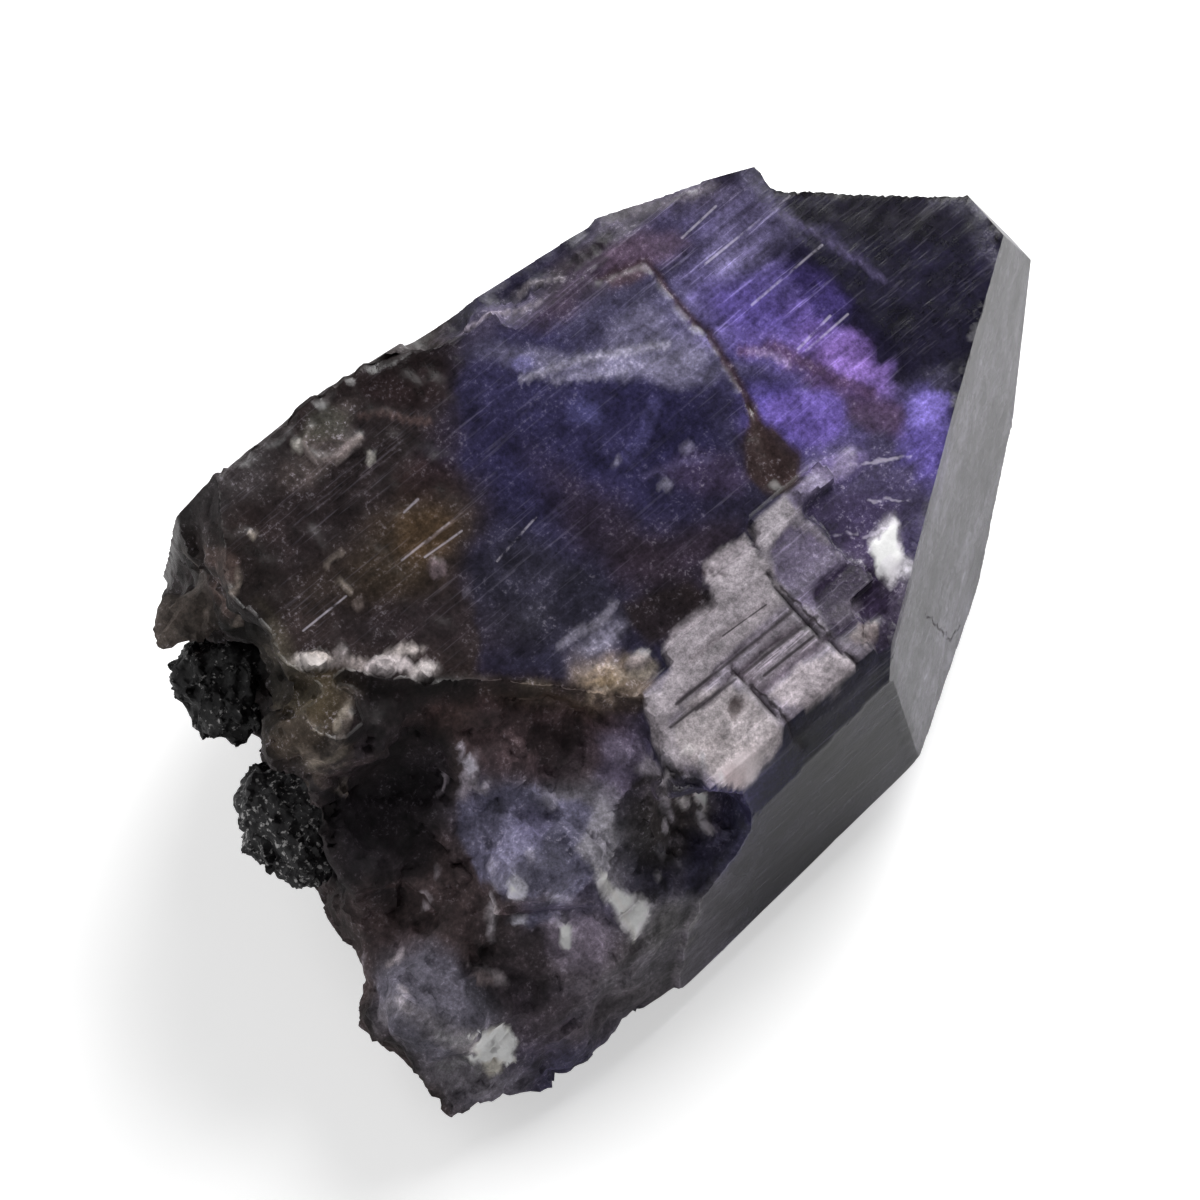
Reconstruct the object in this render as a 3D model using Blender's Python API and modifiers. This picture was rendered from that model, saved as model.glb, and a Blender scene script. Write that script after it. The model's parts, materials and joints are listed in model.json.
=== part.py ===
"""Rough tanzanite crystal with the black graphite crust left on its broken end.

Frame: +X runs along the striations towards the flat end faces, +Z is up, and the origin lies under the middle
of the stone on the small flat spot it rests on. The grown faces are cut from a block first. Fractures then
break the left end, the back edge and the underside, and only what is broken gets roughened.
"""

import math

import bmesh
import bpy
from mathutils import Euler, Matrix, Vector, noise

MM = 0.001

# Driving sizes, in millimetres
ROUGH_BLOCK = 60.0
GRAPHITE_GAP = 0.3
PLATE_RISE = 0.2
CRACK_DEPTH = 0.4
CELL = 0.21
SNAP = 0.16
CRYSTAL_TRIANGLES = 6600
CRUST_TRIANGLES = 1000

# Each grown or cleaved face: its outward normal and a point on it, in millimetres
GROWN_FACES = {
    "top": ((0.0, -0.259, 0.966), (0.0, 0.0, 9.5)),
    "dark_facet": ((0.070, -0.259, 0.963), (8.9, 0.6, 9.66)),
    "side": ((0.04, -0.998, 0.055), (0.0, -7.15, 6.8)),
    "side_bevel": ((0.0, -0.928, 0.371), (0.0, -6.75, 7.7)),
    "end_front": ((0.495, -0.858, 0.137), (13.15, -0.9, 9.24)),
    "end_tip": ((0.896, -0.131, 0.425), (13.18, 0.42, 9.61)),
    "end_under": ((0.65, 0.33, -0.68), (12.73, -2.3, 2.38)),
    "back": ((0.0, 0.97, 0.243), (-5.0, 6.65, 11.3)),
    "back_taper": ((0.119, 0.95, 0.28), (4.22, 5.8, 11.05)),
    "back_bevel": ((0.379, 0.89, 0.25), (6.05, 5.55, 10.99)),
    "foot": ((0.0, 0.0, -1.0), (0.0, 0.0, 0.0)),
}

# The planes that the breaks and the worn underside follow
BREAK_PLANES = {
    "end_wall": ((-0.962, 0.274, 0.0), (-9.13, 1.84, 3.1)),
    "wall_foot": ((-0.76, 0.465, -0.455), (-10.4, -0.95, 1.3)),
    "tip_wall": ((-0.985, -0.15, -0.08), (-11.75, -4.2, 1.3)),
    "lobe_side": ((-0.14, -0.985, 0.10), (-7.06, -7.15, 1.3)),
    "left_shoulder": ((-0.62, 0.30, 0.72), (-7.75, 5.0, 10.8)),
    "under_front": ((0.06, -0.36, -0.93), (0.0, -7.45, 1.3)),
    "under_corner": ((0.159, -0.786, -0.598), (5.35, -6.73, 1.33)),
    "under_right": ((0.324, 0.19, -0.927), (12.73, -2.3, 2.38)),
    "under_back": ((-0.10, 0.42, -0.90), (0.0, 8.0, 2.1)),
    "under_left": ((-0.26, 0.07, -0.96), (-11.2, -1.0, 1.75)),
}

# Stepped breaks, each the space on the inner side of its planes
STEPS = {
    "slope": (((0.376, 0.574, -0.728), (-2.3, -3.7, 8.5)), ((0.92, -0.35, -0.17), (-2.75, -4.6, 8.3))),
    "end_back": (((-0.637, -0.731, -0.244), (13.18, 0.42, 9.61)), ((-1.0, 0.1, 0.0), (9.40, 3.5, 10.4))),
    "pale_margin": (
        ((0.0, -0.03, -0.9995), (0.0, 4.3, 10.62)),
        ((-0.95, 0.3, 0.0), (1.4, 5.0, 10.6)),
        ((0.97, 0.24, 0.0), (8.4, 4.4, 10.6)),
    ),
}

# Shell-shaped breaks: centre, radii, and turn in degrees
SCOOPS = {
    "trough": ((-4.7, -3.1, 8.9), (2.9, 1.1, 1.3), (0, 0, -44)),
    "side_hollow": ((-3.45, -7.0, 6.35), (1.6, 1.35, 1.5), (0, 0, 0)),
    "side_break": ((-5.3, -8.4, 5.0), (2.2, 1.6, 1.9), (0, 25, 0)),
    "black_hollow": ((-8.35, -1.6, 8.45), (2.9, 1.6, 1.7), (0, -33, 0)),
    "end_recess": ((-9.3, 3.3, 8.9), (1.4, 1.5, 1.7), (0, 10, 0)),
    "lower_pit": ((-10.2, -3.2, 4.9), (1.3, 1.3, 1.0), (0, 0, 0)),
    "edge_notch": ((0.85, 6.7, 11.8), (1.7, 1.45, 1.9), (0, 0, 0)),
    "tip_chip": ((-9.3, -8.0, 1.4), (1.2, 0.95, 1.4), (0, 0, 0)),
    "crack_end": ((4.3, -1.6, 9.75), (1.1, 0.7, 0.95), (0, 0, 20)),
    "end_chip": ((5.35, -4.75, 8.55), (0.55, 0.5, 0.5), (0, 0, 30)),
}

# Lumps of the same mineral that stand out of the breaks
LUMPS = {
    "left_lump": ((-8.5, 5.9, 7.4), (1.05, 1.0, 1.1), (0, 0, 0)),
    "brown_lump": ((-8.4, 0.8, 8.3), (1.45, 1.25, 1.35), (0, 0, -44)),
    "mottled_lobe": ((-6.0, -4.0, 5.2), (2.1, 1.5, 1.4), (0, 0, -44)),
    "tip_lobe": ((-9.3, -4.3, 2.9), (2.1, 1.9, 1.4), (0, 25, 0)),
    "wall_lobe": ((-10.2, -3.5, 2.5), (1.5, 1.4, 1.7), (0, 0, 0)),
    "seam_grain_1": ((-7.95, 1.75, 9.9), (0.55, 0.40, 0.38), (0, 0, -44)),
    "seam_grain_2": ((-6.75, 0.60, 9.6), (0.50, 0.32, 0.34), (0, 0, -44)),
    "seam_grain_3": ((-6.05, -0.15, 9.4), (0.34, 0.34, 0.34), (0, 0, 0)),
}

# Graphite crusts: the lobes of each, centre and radii
CRUSTS = {
    "graphite_crust_upper": (
        ((-8.75, 4.6, 6.2), (1.25, 1.35, 1.4)),
        ((-8.45, 5.6, 5.6), (0.95, 0.85, 1.0)),
        ((-9.15, 3.5, 6.4), (0.95, 0.95, 1.0)),
        ((-8.2, 4.3, 7.2), (0.8, 0.85, 0.6)),
        ((-9.5, 4.3, 5.6), (0.6, 0.7, 0.8)),
    ),
    "graphite_crust_lower": (
        ((-9.75, 1.2, 5.2), (1.25, 1.4, 1.5)),
        ((-9.4, 2.2, 4.7), (0.95, 0.85, 1.1)),
        ((-10.0, 0.1, 4.9), (1.05, 1.0, 1.2)),
        ((-9.1, 0.6, 6.1), (0.9, 0.9, 0.7)),
        ((-10.3, 1.3, 4.4), (0.8, 0.8, 0.9)),
    ),
}

# The thin growth plate on the top face: one strip for each step, its near y, far y, start x and end x
PLATE_STRIPS = (
    (-7.4, -6.1, -2.8, 2.9),
    (-6.1, -5.4, -3.1, 3.2),
    (-5.4, -4.8, -3.0, 4.2),
    (-4.8, -3.8, -2.6, 4.0),
    (-3.8, -3.45, -1.2, 4.1),
    (-3.45, -2.9, 0.7, 4.0),
    (-2.9, -2.35, 2.8, 5.2),
)

# The open crack across the top face: x, y and half width along it
CRACK = (
    (5.5, 4.0, 0.08),
    (5.6, 2.2, 0.14),
    (5.2, 1.0, 0.16),
    (4.9, 0.1, 0.22),
    (4.4, -0.9, 0.45),
)


def mm(point):
    return Vector(point) * MM


def clear_scene():
    for obj in list(bpy.data.objects):
        bpy.data.objects.remove(obj)
    for folder in list(bpy.data.collections):
        bpy.data.collections.remove(folder)


def new_folder(name):
    folder = bpy.data.collections.new(name)
    bpy.context.scene.collection.children.link(folder)
    return folder


def object_from_bmesh(name, shape, folder):
    bmesh.ops.recalc_face_normals(shape, faces=shape.faces[:])
    mesh = bpy.data.meshes.new(name)
    shape.to_mesh(mesh)
    shape.free()
    made = bpy.data.objects.new(name, mesh)
    folder.objects.link(made)
    return made


def helper(made):
    made.hide_render = True
    made.display_type = "WIRE"
    return made


def cut_by_planes(block, planes):
    for normal, point in planes:
        every = block.verts[:] + block.edges[:] + block.faces[:]
        kept = bmesh.ops.bisect_plane(
            block, geom=every, plane_co=mm(point), plane_no=Vector(normal), clear_outer=True
        )
        rim = [e for e in kept["geom_cut"] if isinstance(e, bmesh.types.BMEdge)]
        if rim:
            bmesh.ops.contextual_create(block, geom=rim)


def block_of_planes(name, planes, folder):
    block = bmesh.new()
    bmesh.ops.create_cube(block, size=ROUGH_BLOCK * MM)
    cut_by_planes(block, planes)
    return object_from_bmesh(name, block, folder)


def rough_ball(name, centre, radii, turn, folder, roughness=0.16, detail=4):
    ball = bmesh.new()
    bmesh.ops.create_icosphere(ball, subdivisions=detail, radius=1.0)
    turning = Euler([math.radians(t) for t in turn]).to_matrix()
    start = Vector(centre)
    for vert in ball.verts:
        out = vert.co.copy()
        swell = 1.0 + roughness * noise.fractal(out * 1.6 + start, 0.8, 2.1, 4)
        spread = Vector(out[i] * radii[i] * swell for i in range(3))
        vert.co = mm(turning @ spread + start)
    return helper(object_from_bmesh(name, ball, folder))


def add_boolean(target, operation, folder):
    step = target.modifiers.new(folder.name, "BOOLEAN")
    step.operation = operation
    step.solver = "EXACT"
    step.operand_type = "COLLECTION"
    step.collection = folder


def settle(target):
    """Replaces the object's mesh by what its modifiers make of it."""
    bpy.context.view_layer.update()
    graph = bpy.context.evaluated_depsgraph_get()
    mesh = bpy.data.meshes.new_from_object(target.evaluated_get(graph))
    target.modifiers.clear()
    target.data = mesh
    mesh.name = target.name


def remesh(target, cell):
    step = target.modifiers.new("even_mesh", "REMESH")
    step.mode = "VOXEL"
    step.voxel_size = cell * MM
    settle(target)


def decimate(target, triangles):
    target.data.calc_loop_triangles()
    step = target.modifiers.new("fewer_triangles", "DECIMATE")
    step.ratio = min(1.0, triangles / len(target.data.loop_triangles))
    step.use_collapse_triangulate = True
    settle(target)


def smooth_step(low, high, value):
    t = min(1.0, max(0.0, (value - low) / (high - low)))
    return t * t * (3.0 - 2.0 * t)


def face_distance(point):
    """Distance in millimetres from the point to the nearest grown face."""
    return min(abs((point - Vector(p)).dot(Vector(n).normalized())) for n, p in GROWN_FACES.values())


def beyond_crusts(point):
    """0 beside a graphite crust, rising to 1 a little way off."""
    nearest = 9.0
    for lobes in CRUSTS.values():
        for centre, radii in lobes:
            away = point - Vector(centre)
            nearest = min(nearest, Vector(away[i] / (radii[i] + GRAPHITE_GAP) for i in range(3)).length)
    return smooth_step(1.03, 1.3, nearest)


def terrace(value, steps):
    scaled = value * steps
    level = math.floor(scaled)
    return (level + smooth_step(0.55, 1.0, scaled - level)) / steps


def sharpen_faces(target):
    """Puts every vertex that the even mesh left beside a grown face back onto that face."""
    planes = [(Vector(n).normalized(), Vector(p)) for n, p in GROWN_FACES.values()]
    for vert in target.data.vertices:
        spot = vert.co / MM
        beside = []
        for normal, point in planes:
            away = (spot - point).dot(normal)
            if abs(away) < SNAP and vert.normal.dot(normal) > 0.35:
                beside.append((abs(away), normal, point))
        beside.sort(key=lambda found: found[0])
        chosen = []
        for _, normal, point in beside:
            if all(normal.dot(other) < 0.98 for other, _ in chosen):
                chosen.append((normal, point))
        for _ in range(4 if len(chosen) > 1 else 1):
            for normal, point in chosen[:3]:
                spot -= normal * (spot - point).dot(normal)
        vert.co = mm(spot)
    target.data.update()


def fracture_relief(point):
    """Height in millimetres of a broken surface at a point given in millimetres."""
    waves = 0.40 * noise.fractal(point * 0.27, 0.9, 2.0, 3)
    ledges = 0.60 * terrace(noise.noise(point * 0.42 + Vector((7.0, 1.0, 3.0))), 3)
    chips = 0.13 * noise.ridged_multi_fractal(point * 0.7, 0.9, 2.1, 3, 1.0, 2.0) - 0.15
    return waves + ledges + chips


def roughen_breaks(target):
    moves = []
    for vert in target.data.vertices:
        point = vert.co / MM
        loose = smooth_step(0.06, 0.9, face_distance(point)) * beyond_crusts(point)
        worn = 0.45 if vert.normal.z < -0.4 else 1.0
        moves.append(vert.normal * (loose * worn * fracture_relief(point) * MM))
    for vert, move in zip(target.data.vertices, moves):
        vert.co += move
        vert.co.z = max(vert.co.z, 0.0)
    target.data.update()


def top_height(y):
    normal, point = GROWN_FACES["top"]
    return point[2] - normal[1] * y / normal[2]


def growth_plate(folder, cutters):
    """The raised plate on the top face, with a stepped end for each growth step."""
    sunk = 0.35
    normal = Vector(GROWN_FACES["top"][0])
    plate = bmesh.new()
    left = [(start, y) for near, far, start, end in PLATE_STRIPS for y in (near, far)]
    right = [(end, y) for near, far, start, end in PLATE_STRIPS for y in (near, far)]
    outline = left + right[::-1]
    lower = [plate.verts.new(mm(Vector((x, y, top_height(y))) - normal * sunk)) for x, y in outline]
    base = plate.faces.new(lower)
    grown = bmesh.ops.extrude_face_region(plate, geom=[base])
    raised = [v for v in grown["geom"] if isinstance(v, bmesh.types.BMVert)]
    bmesh.ops.translate(plate, verts=raised, vec=normal * (sunk + PLATE_RISE) * MM)
    cut_by_planes(plate, [GROWN_FACES["side_bevel"], GROWN_FACES["end_front"]])
    made = helper(object_from_bmesh("growth_plate", plate, folder))
    add_boolean(made, "DIFFERENCE", cutters)
    settle(made)


def crack_wedge(folder):
    """A V-shaped groove that follows the crack and widens towards its lower end."""
    wedge = bmesh.new()
    rings = []
    for number, (x, y, half) in enumerate(CRACK):
        before = Vector(CRACK[max(0, number - 1)][:2])
        after = Vector(CRACK[min(len(CRACK) - 1, number + 1)][:2])
        along = (after - before).normalized()
        across = Vector((-along.y, along.x))
        ring = []
        for side in (-1, 1):
            spot = Vector((x, y)) + across * half * 1.4 * side
            ring.append(wedge.verts.new(mm((spot.x, spot.y, top_height(spot.y) + 0.16))))
        ring.append(wedge.verts.new(mm((x, y, top_height(y) - CRACK_DEPTH))))
        rings.append(ring)
    for first, second in zip(rings, rings[1:]):
        for a, b in ((0, 1), (1, 2), (2, 0)):
            wedge.faces.new((first[a], first[b], second[b], second[a]))
    wedge.faces.new(rings[0])
    wedge.faces.new(rings[-1])
    helper(object_from_bmesh("crack_wedge", wedge, folder))


def graphite_crust(name, lobes, folder, helpers):
    seeds = new_folder(name + "_lobes")
    for number, (centre, radii) in enumerate(lobes):
        rough_ball(f"{name}_lobe_{number}", centre, radii, (0, 0, 0), seeds, 0.0)
    core, radii = lobes[0]
    crust = rough_ball(name, core, [r * 0.9 for r in radii], (0, 0, 0), folder, 0.0)
    add_boolean(crust, "UNION", seeds)
    settle(crust)
    remesh(crust, 0.13)
    moves = []
    for vert in crust.data.vertices:
        point = vert.co / MM
        cells = noise.voronoi(point * 1.1)[0]
        grain = smooth_step(0.0, 0.5, cells[1] - cells[0])
        swell = 0.5 + 0.5 * noise.fractal(point * 0.9, 0.9, 2.1, 3)
        moves.append(vert.normal * (-(0.14 * (1.0 - grain) + 0.36 * swell) * MM))
    for vert, move in zip(crust.data.vertices, moves):
        vert.co += move
    decimate(crust, CRUST_TRIANGLES)
    crust.hide_render = False
    crust.display_type = "TEXTURED"
    return crust


def material(name, colour, roughness):
    made = bpy.data.materials.new(name)
    made.use_nodes = True
    shader = made.node_tree.nodes["Principled BSDF"]
    shader.inputs["Base Color"].default_value = (*colour, 1.0)
    shader.inputs["Roughness"].default_value = roughness
    shader.inputs["Metallic"].default_value = 0.0
    return made


clear_scene()
stone = new_folder("rough_tanzanite")
cutters = new_folder("breaks")
additions = new_folder("lumps")
strips = new_folder("plate_strips")
grooves = new_folder("grooves")

crystal = block_of_planes("tanzanite_crystal", [*GROWN_FACES.values(), *BREAK_PLANES.values()], stone)
for name, planes in STEPS.items():
    helper(block_of_planes(name, planes, cutters))
for name, (centre, radii, turn) in SCOOPS.items():
    rough_ball(name, centre, radii, turn, cutters)
for name, (centre, radii, turn) in LUMPS.items():
    rough_ball(name, centre, radii, turn, additions)
recesses = new_folder("crust_recesses")
for name, lobes in CRUSTS.items():
    for number, (centre, radii) in enumerate(lobes):
        room = [r + GRAPHITE_GAP for r in radii]
        rough_ball(f"{name}_recess_{number}", centre, room, (0, 0, 0), recesses, 0.0)

add_boolean(crystal, "DIFFERENCE", cutters)
add_boolean(crystal, "UNION", additions)
add_boolean(crystal, "DIFFERENCE", recesses)
settle(crystal)
remesh(crystal, CELL)
sharpen_faces(crystal)
roughen_breaks(crystal)
decimate(crystal, CRYSTAL_TRIANGLES)
growth_plate(strips, cutters)
crack_wedge(grooves)
add_boolean(crystal, "UNION", strips)
add_boolean(crystal, "DIFFERENCE", grooves)
settle(crystal)

pieces = [crystal]
for name, lobes in CRUSTS.items():
    pieces.append(graphite_crust(name, lobes, stone, additions))
crystal.data.materials.clear()
crystal.data.materials.append(material("tanzanite", (0.10, 0.08, 0.22), 0.25))
for crust in pieces[1:]:
    crust.data.materials.clear()
    crust.data.materials.append(material(crust.name, (0.02, 0.02, 0.022), 0.45))

# The finished stone stands with its origin under the middle of its box
low = Vector(min(v.co[i] for p in pieces for v in p.data.vertices) for i in range(3))
high = Vector(max(v.co[i] for p in pieces for v in p.data.vertices) for i in range(3))
middle = Vector(((low.x + high.x) / 2, (low.y + high.y) / 2, low.z))
for piece in pieces:
    piece.data.transform(Matrix.Translation(-middle))
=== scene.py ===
# Rough tanzanite crystal: the looks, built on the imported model.
# Stone places are millimetres from the point that the grown faces are measured from.

import json
import math

import bpy
import numpy as np
from mathutils import Euler, Matrix, Vector

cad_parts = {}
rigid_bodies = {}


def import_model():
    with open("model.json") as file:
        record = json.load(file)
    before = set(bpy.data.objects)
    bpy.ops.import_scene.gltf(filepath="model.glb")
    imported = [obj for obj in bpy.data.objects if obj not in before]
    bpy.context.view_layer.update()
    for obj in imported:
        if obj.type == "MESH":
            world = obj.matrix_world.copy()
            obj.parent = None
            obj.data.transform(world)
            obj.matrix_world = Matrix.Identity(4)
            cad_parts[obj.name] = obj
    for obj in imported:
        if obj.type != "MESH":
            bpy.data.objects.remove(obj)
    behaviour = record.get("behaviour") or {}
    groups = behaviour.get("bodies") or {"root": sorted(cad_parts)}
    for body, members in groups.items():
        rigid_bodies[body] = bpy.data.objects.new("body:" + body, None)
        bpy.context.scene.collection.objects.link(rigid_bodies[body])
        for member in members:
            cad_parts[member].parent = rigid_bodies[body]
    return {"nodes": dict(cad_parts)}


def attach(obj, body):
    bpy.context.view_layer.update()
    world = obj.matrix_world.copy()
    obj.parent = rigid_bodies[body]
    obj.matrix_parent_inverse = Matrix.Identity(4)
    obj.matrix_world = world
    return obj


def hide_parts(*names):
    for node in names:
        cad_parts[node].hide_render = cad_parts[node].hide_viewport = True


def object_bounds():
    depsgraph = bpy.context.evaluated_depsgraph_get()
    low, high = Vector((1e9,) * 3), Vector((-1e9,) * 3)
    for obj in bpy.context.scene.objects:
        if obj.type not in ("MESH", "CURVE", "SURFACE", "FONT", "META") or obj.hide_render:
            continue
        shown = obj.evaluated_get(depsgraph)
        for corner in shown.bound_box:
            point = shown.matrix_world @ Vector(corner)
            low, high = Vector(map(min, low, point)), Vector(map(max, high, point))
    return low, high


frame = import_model()
cadLow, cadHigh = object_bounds()

mm = 0.001
stoneMiddle = Vector((1.7546, 0.6057, -0.008))  # this much was taken off every place when the stone was centred
print("frame loaded")


# Camera
shot = dict(azimuth=-44, elevation=60, distance=170, target=(0, 0, 5.5), lens=204)
turn = math.radians(shot["azimuth"])
rise = math.radians(shot["elevation"])
away = Vector((math.sin(turn) * math.cos(rise), -math.cos(turn) * math.cos(rise), math.sin(rise)))
bpy.ops.object.camera_add(location=(Vector(shot["target"]) - stoneMiddle + away * shot["distance"]) * mm)
camera = bpy.context.object
camera.name = "camera"
camera.rotation_mode = "QUATERNION"
camera.rotation_quaternion = (-away).to_track_quat("-Z", "Y")
camera.data.lens = shot["lens"]
camera.data.clip_start = 0.01
camera.data.clip_end = 10
bpy.context.scene.camera = camera


# Mesh helpers
def deselectAll():
    if bpy.context.object and bpy.context.object.mode != "OBJECT":
        bpy.ops.object.mode_set(mode="OBJECT")
    bpy.ops.object.select_all(action="DESELECT")


def makeActive(obj):
    deselectAll()
    obj.select_set(True)
    bpy.context.view_layer.objects.active = obj


def mergedCopy(nodeName, pieceName):
    node = frame["nodes"][nodeName]
    piece = node.copy()
    piece.data = node.data.copy()
    piece.name = pieceName
    piece.data.name = pieceName
    for key in list(piece.keys()):
        del piece[key]
    piece.parent = None
    bpy.context.scene.collection.objects.link(piece)
    makeActive(piece)
    bpy.ops.object.mode_set(mode="EDIT")
    bpy.ops.mesh.select_all(action="SELECT")
    bpy.ops.mesh.remove_doubles(threshold=0.000001)
    bpy.ops.mesh.normals_make_consistent(inside=False)
    bpy.ops.object.mode_set(mode="OBJECT")
    return piece


def applyModifiers(obj):
    makeActive(obj)
    for step in list(obj.modifiers):
        bpy.ops.object.modifier_apply(modifier=step.name)


def evenMesh(obj, cell):
    step = obj.modifiers.new("evenMesh", "REMESH")
    step.mode = "VOXEL"
    step.voxel_size = cell * mm
    applyModifiers(obj)


# Remeshing can leave a crumb off the body: all that isn't linked to the farthest point goes
def dropCrumbs(obj):
    makeActive(obj)
    bpy.ops.object.mode_set(mode="EDIT")
    bpy.ops.mesh.select_all(action="DESELECT")
    bpy.ops.object.mode_set(mode="OBJECT")
    max(obj.data.vertices, key=lambda vertex: vertex.co.x).select = True
    bpy.ops.object.mode_set(mode="EDIT")
    bpy.ops.mesh.select_linked()
    bpy.ops.mesh.select_all(action="INVERT")
    bpy.ops.mesh.delete(type="VERT")
    bpy.ops.object.mode_set(mode="OBJECT")


def thinMesh(obj, triangles):
    obj.data.calc_loop_triangles()
    step = obj.modifiers.new("thinMesh", "DECIMATE")
    step.ratio = min(1.0, triangles / len(obj.data.loop_triangles))
    step.use_collapse_triangulate = True
    applyModifiers(obj)


def readMesh(obj):
    count = len(obj.data.vertices)
    spots = np.empty(count * 3, np.float32)
    normals = np.empty(count * 3, np.float32)
    obj.data.vertices.foreach_get("co", spots)
    obj.data.vertices.foreach_get("normal", normals)
    spots = spots.reshape(-1, 3).astype(np.float64) / mm + np.array(stoneMiddle)
    return spots, normals.reshape(-1, 3).astype(np.float64)


def writeMesh(obj, spots):
    inMetres = (spots - np.array(stoneMiddle)) * mm
    obj.data.vertices.foreach_set("co", inMetres.astype(np.float32).ravel())
    obj.data.update()


def easeStep(low, high, value):
    t = np.clip((value - low) / (high - low), 0.0, 1.0)
    return t * t * (3.0 - 2.0 * t)


# Whole-number mixing, the same on every run
def startMix(cell, seed):
    return cell[:, 0] * 73856093 ^ cell[:, 1] * 19349663 ^ cell[:, 2] * 83492791 ^ seed * 39916801


def shuffled(mixed):
    mixed = (mixed ^ mixed >> 13) * 1274126177 & 0x7FFFFFFF
    return (mixed ^ mixed >> 15) * 668265263 & 0x7FFFFFFF


def cloudNoise(spots, seed=0):
    cell = np.floor(spots).astype(np.int64)
    part = spots - cell
    ease = part * part * (3.0 - 2.0 * part)
    total = np.zeros(len(spots))
    for corner in range(8):
        step = np.array([corner & 1, corner >> 1 & 1, corner >> 2 & 1])
        spot = cell + step
        value = (shuffled(startMix(spot, seed)) >> 8 & 0xFFFF) / 32767.5 - 1.0
        total += value * np.prod(np.where(step, ease, 1.0 - ease), axis=1)
    return total


def layeredNoise(spots, octaves, seed=0, fall=0.5):
    total = np.zeros(len(spots))
    strength = 1.0
    for level in range(octaves):
        total += strength * cloudNoise(spots * 2.03**level + level * 7.3, seed + level)
        strength *= fall
    return total


def mixedNumbers(cell, seed):
    mixed = startMix(cell, seed)
    numbers = []
    for _ in range(4):
        mixed = shuffled(mixed)
        numbers.append((mixed >> 8 & 0xFFFF) / 65535.0)
    return np.column_stack(numbers)


# Cells of flat chips: how far each chip's face leans at a spot, and one tone for each chip
def chipped(spots, seed):
    cell = np.floor(spots).astype(np.int64)
    nearest = np.full(len(spots), 9.0)
    slope = np.zeros(len(spots))
    tone = np.zeros(len(spots))
    for x in (-1, 0, 1):
        for y in (-1, 0, 1):
            for z in (-1, 0, 1):
                around = cell + np.array([x, y, z])
                numbers = mixedNumbers(around, seed)
                offset = spots - around - numbers[:, :3]
                away = np.sum(offset * offset, axis=1)
                closer = away < nearest
                nearest[closer] = away[closer]
                tilt = numbers[closer, 1:4] * 2.0 - 1.0
                slope[closer] = np.sum(offset[closer] * tilt, axis=1)
                tone[closer] = numbers[closer, 3]
    return slope, tone


# Grown faces: outward normal and a point on each
grownFaces = dict(
    top=((0.0, -0.259, 0.966), (0.0, 0.0, 9.5)),
    darkFacet=((0.070, -0.259, 0.963), (8.9, 0.6, 9.66)),
    side=((0.04, -0.998, 0.055), (0.0, -7.15, 6.8)),
    sideBevel=((0.0, -0.928, 0.371), (0.0, -6.75, 7.7)),
    endFront=((0.495, -0.858, 0.137), (13.15, -0.9, 9.24)),
    endTip=((0.896, -0.131, 0.425), (13.18, 0.42, 9.61)),
    endUnder=((0.65, 0.33, -0.68), (12.73, -2.3, 2.38)),
    back=((0.0, 0.97, 0.243), (-5.0, 6.65, 11.3)),
    backTaper=((0.119, 0.95, 0.28), (4.22, 5.8, 11.05)),
    backBevel=((0.379, 0.89, 0.25), (6.05, 5.55, 10.99)),
    foot=((0.0, 0.0, -1.0), (0.0, 0.0, 0.0)),
)


def heightOver(faceName, spots):
    normal, point = grownFaces[faceName]
    normal = np.array(normal) / np.linalg.norm(normal)
    return (spots - np.array(point)) @ normal


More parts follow.
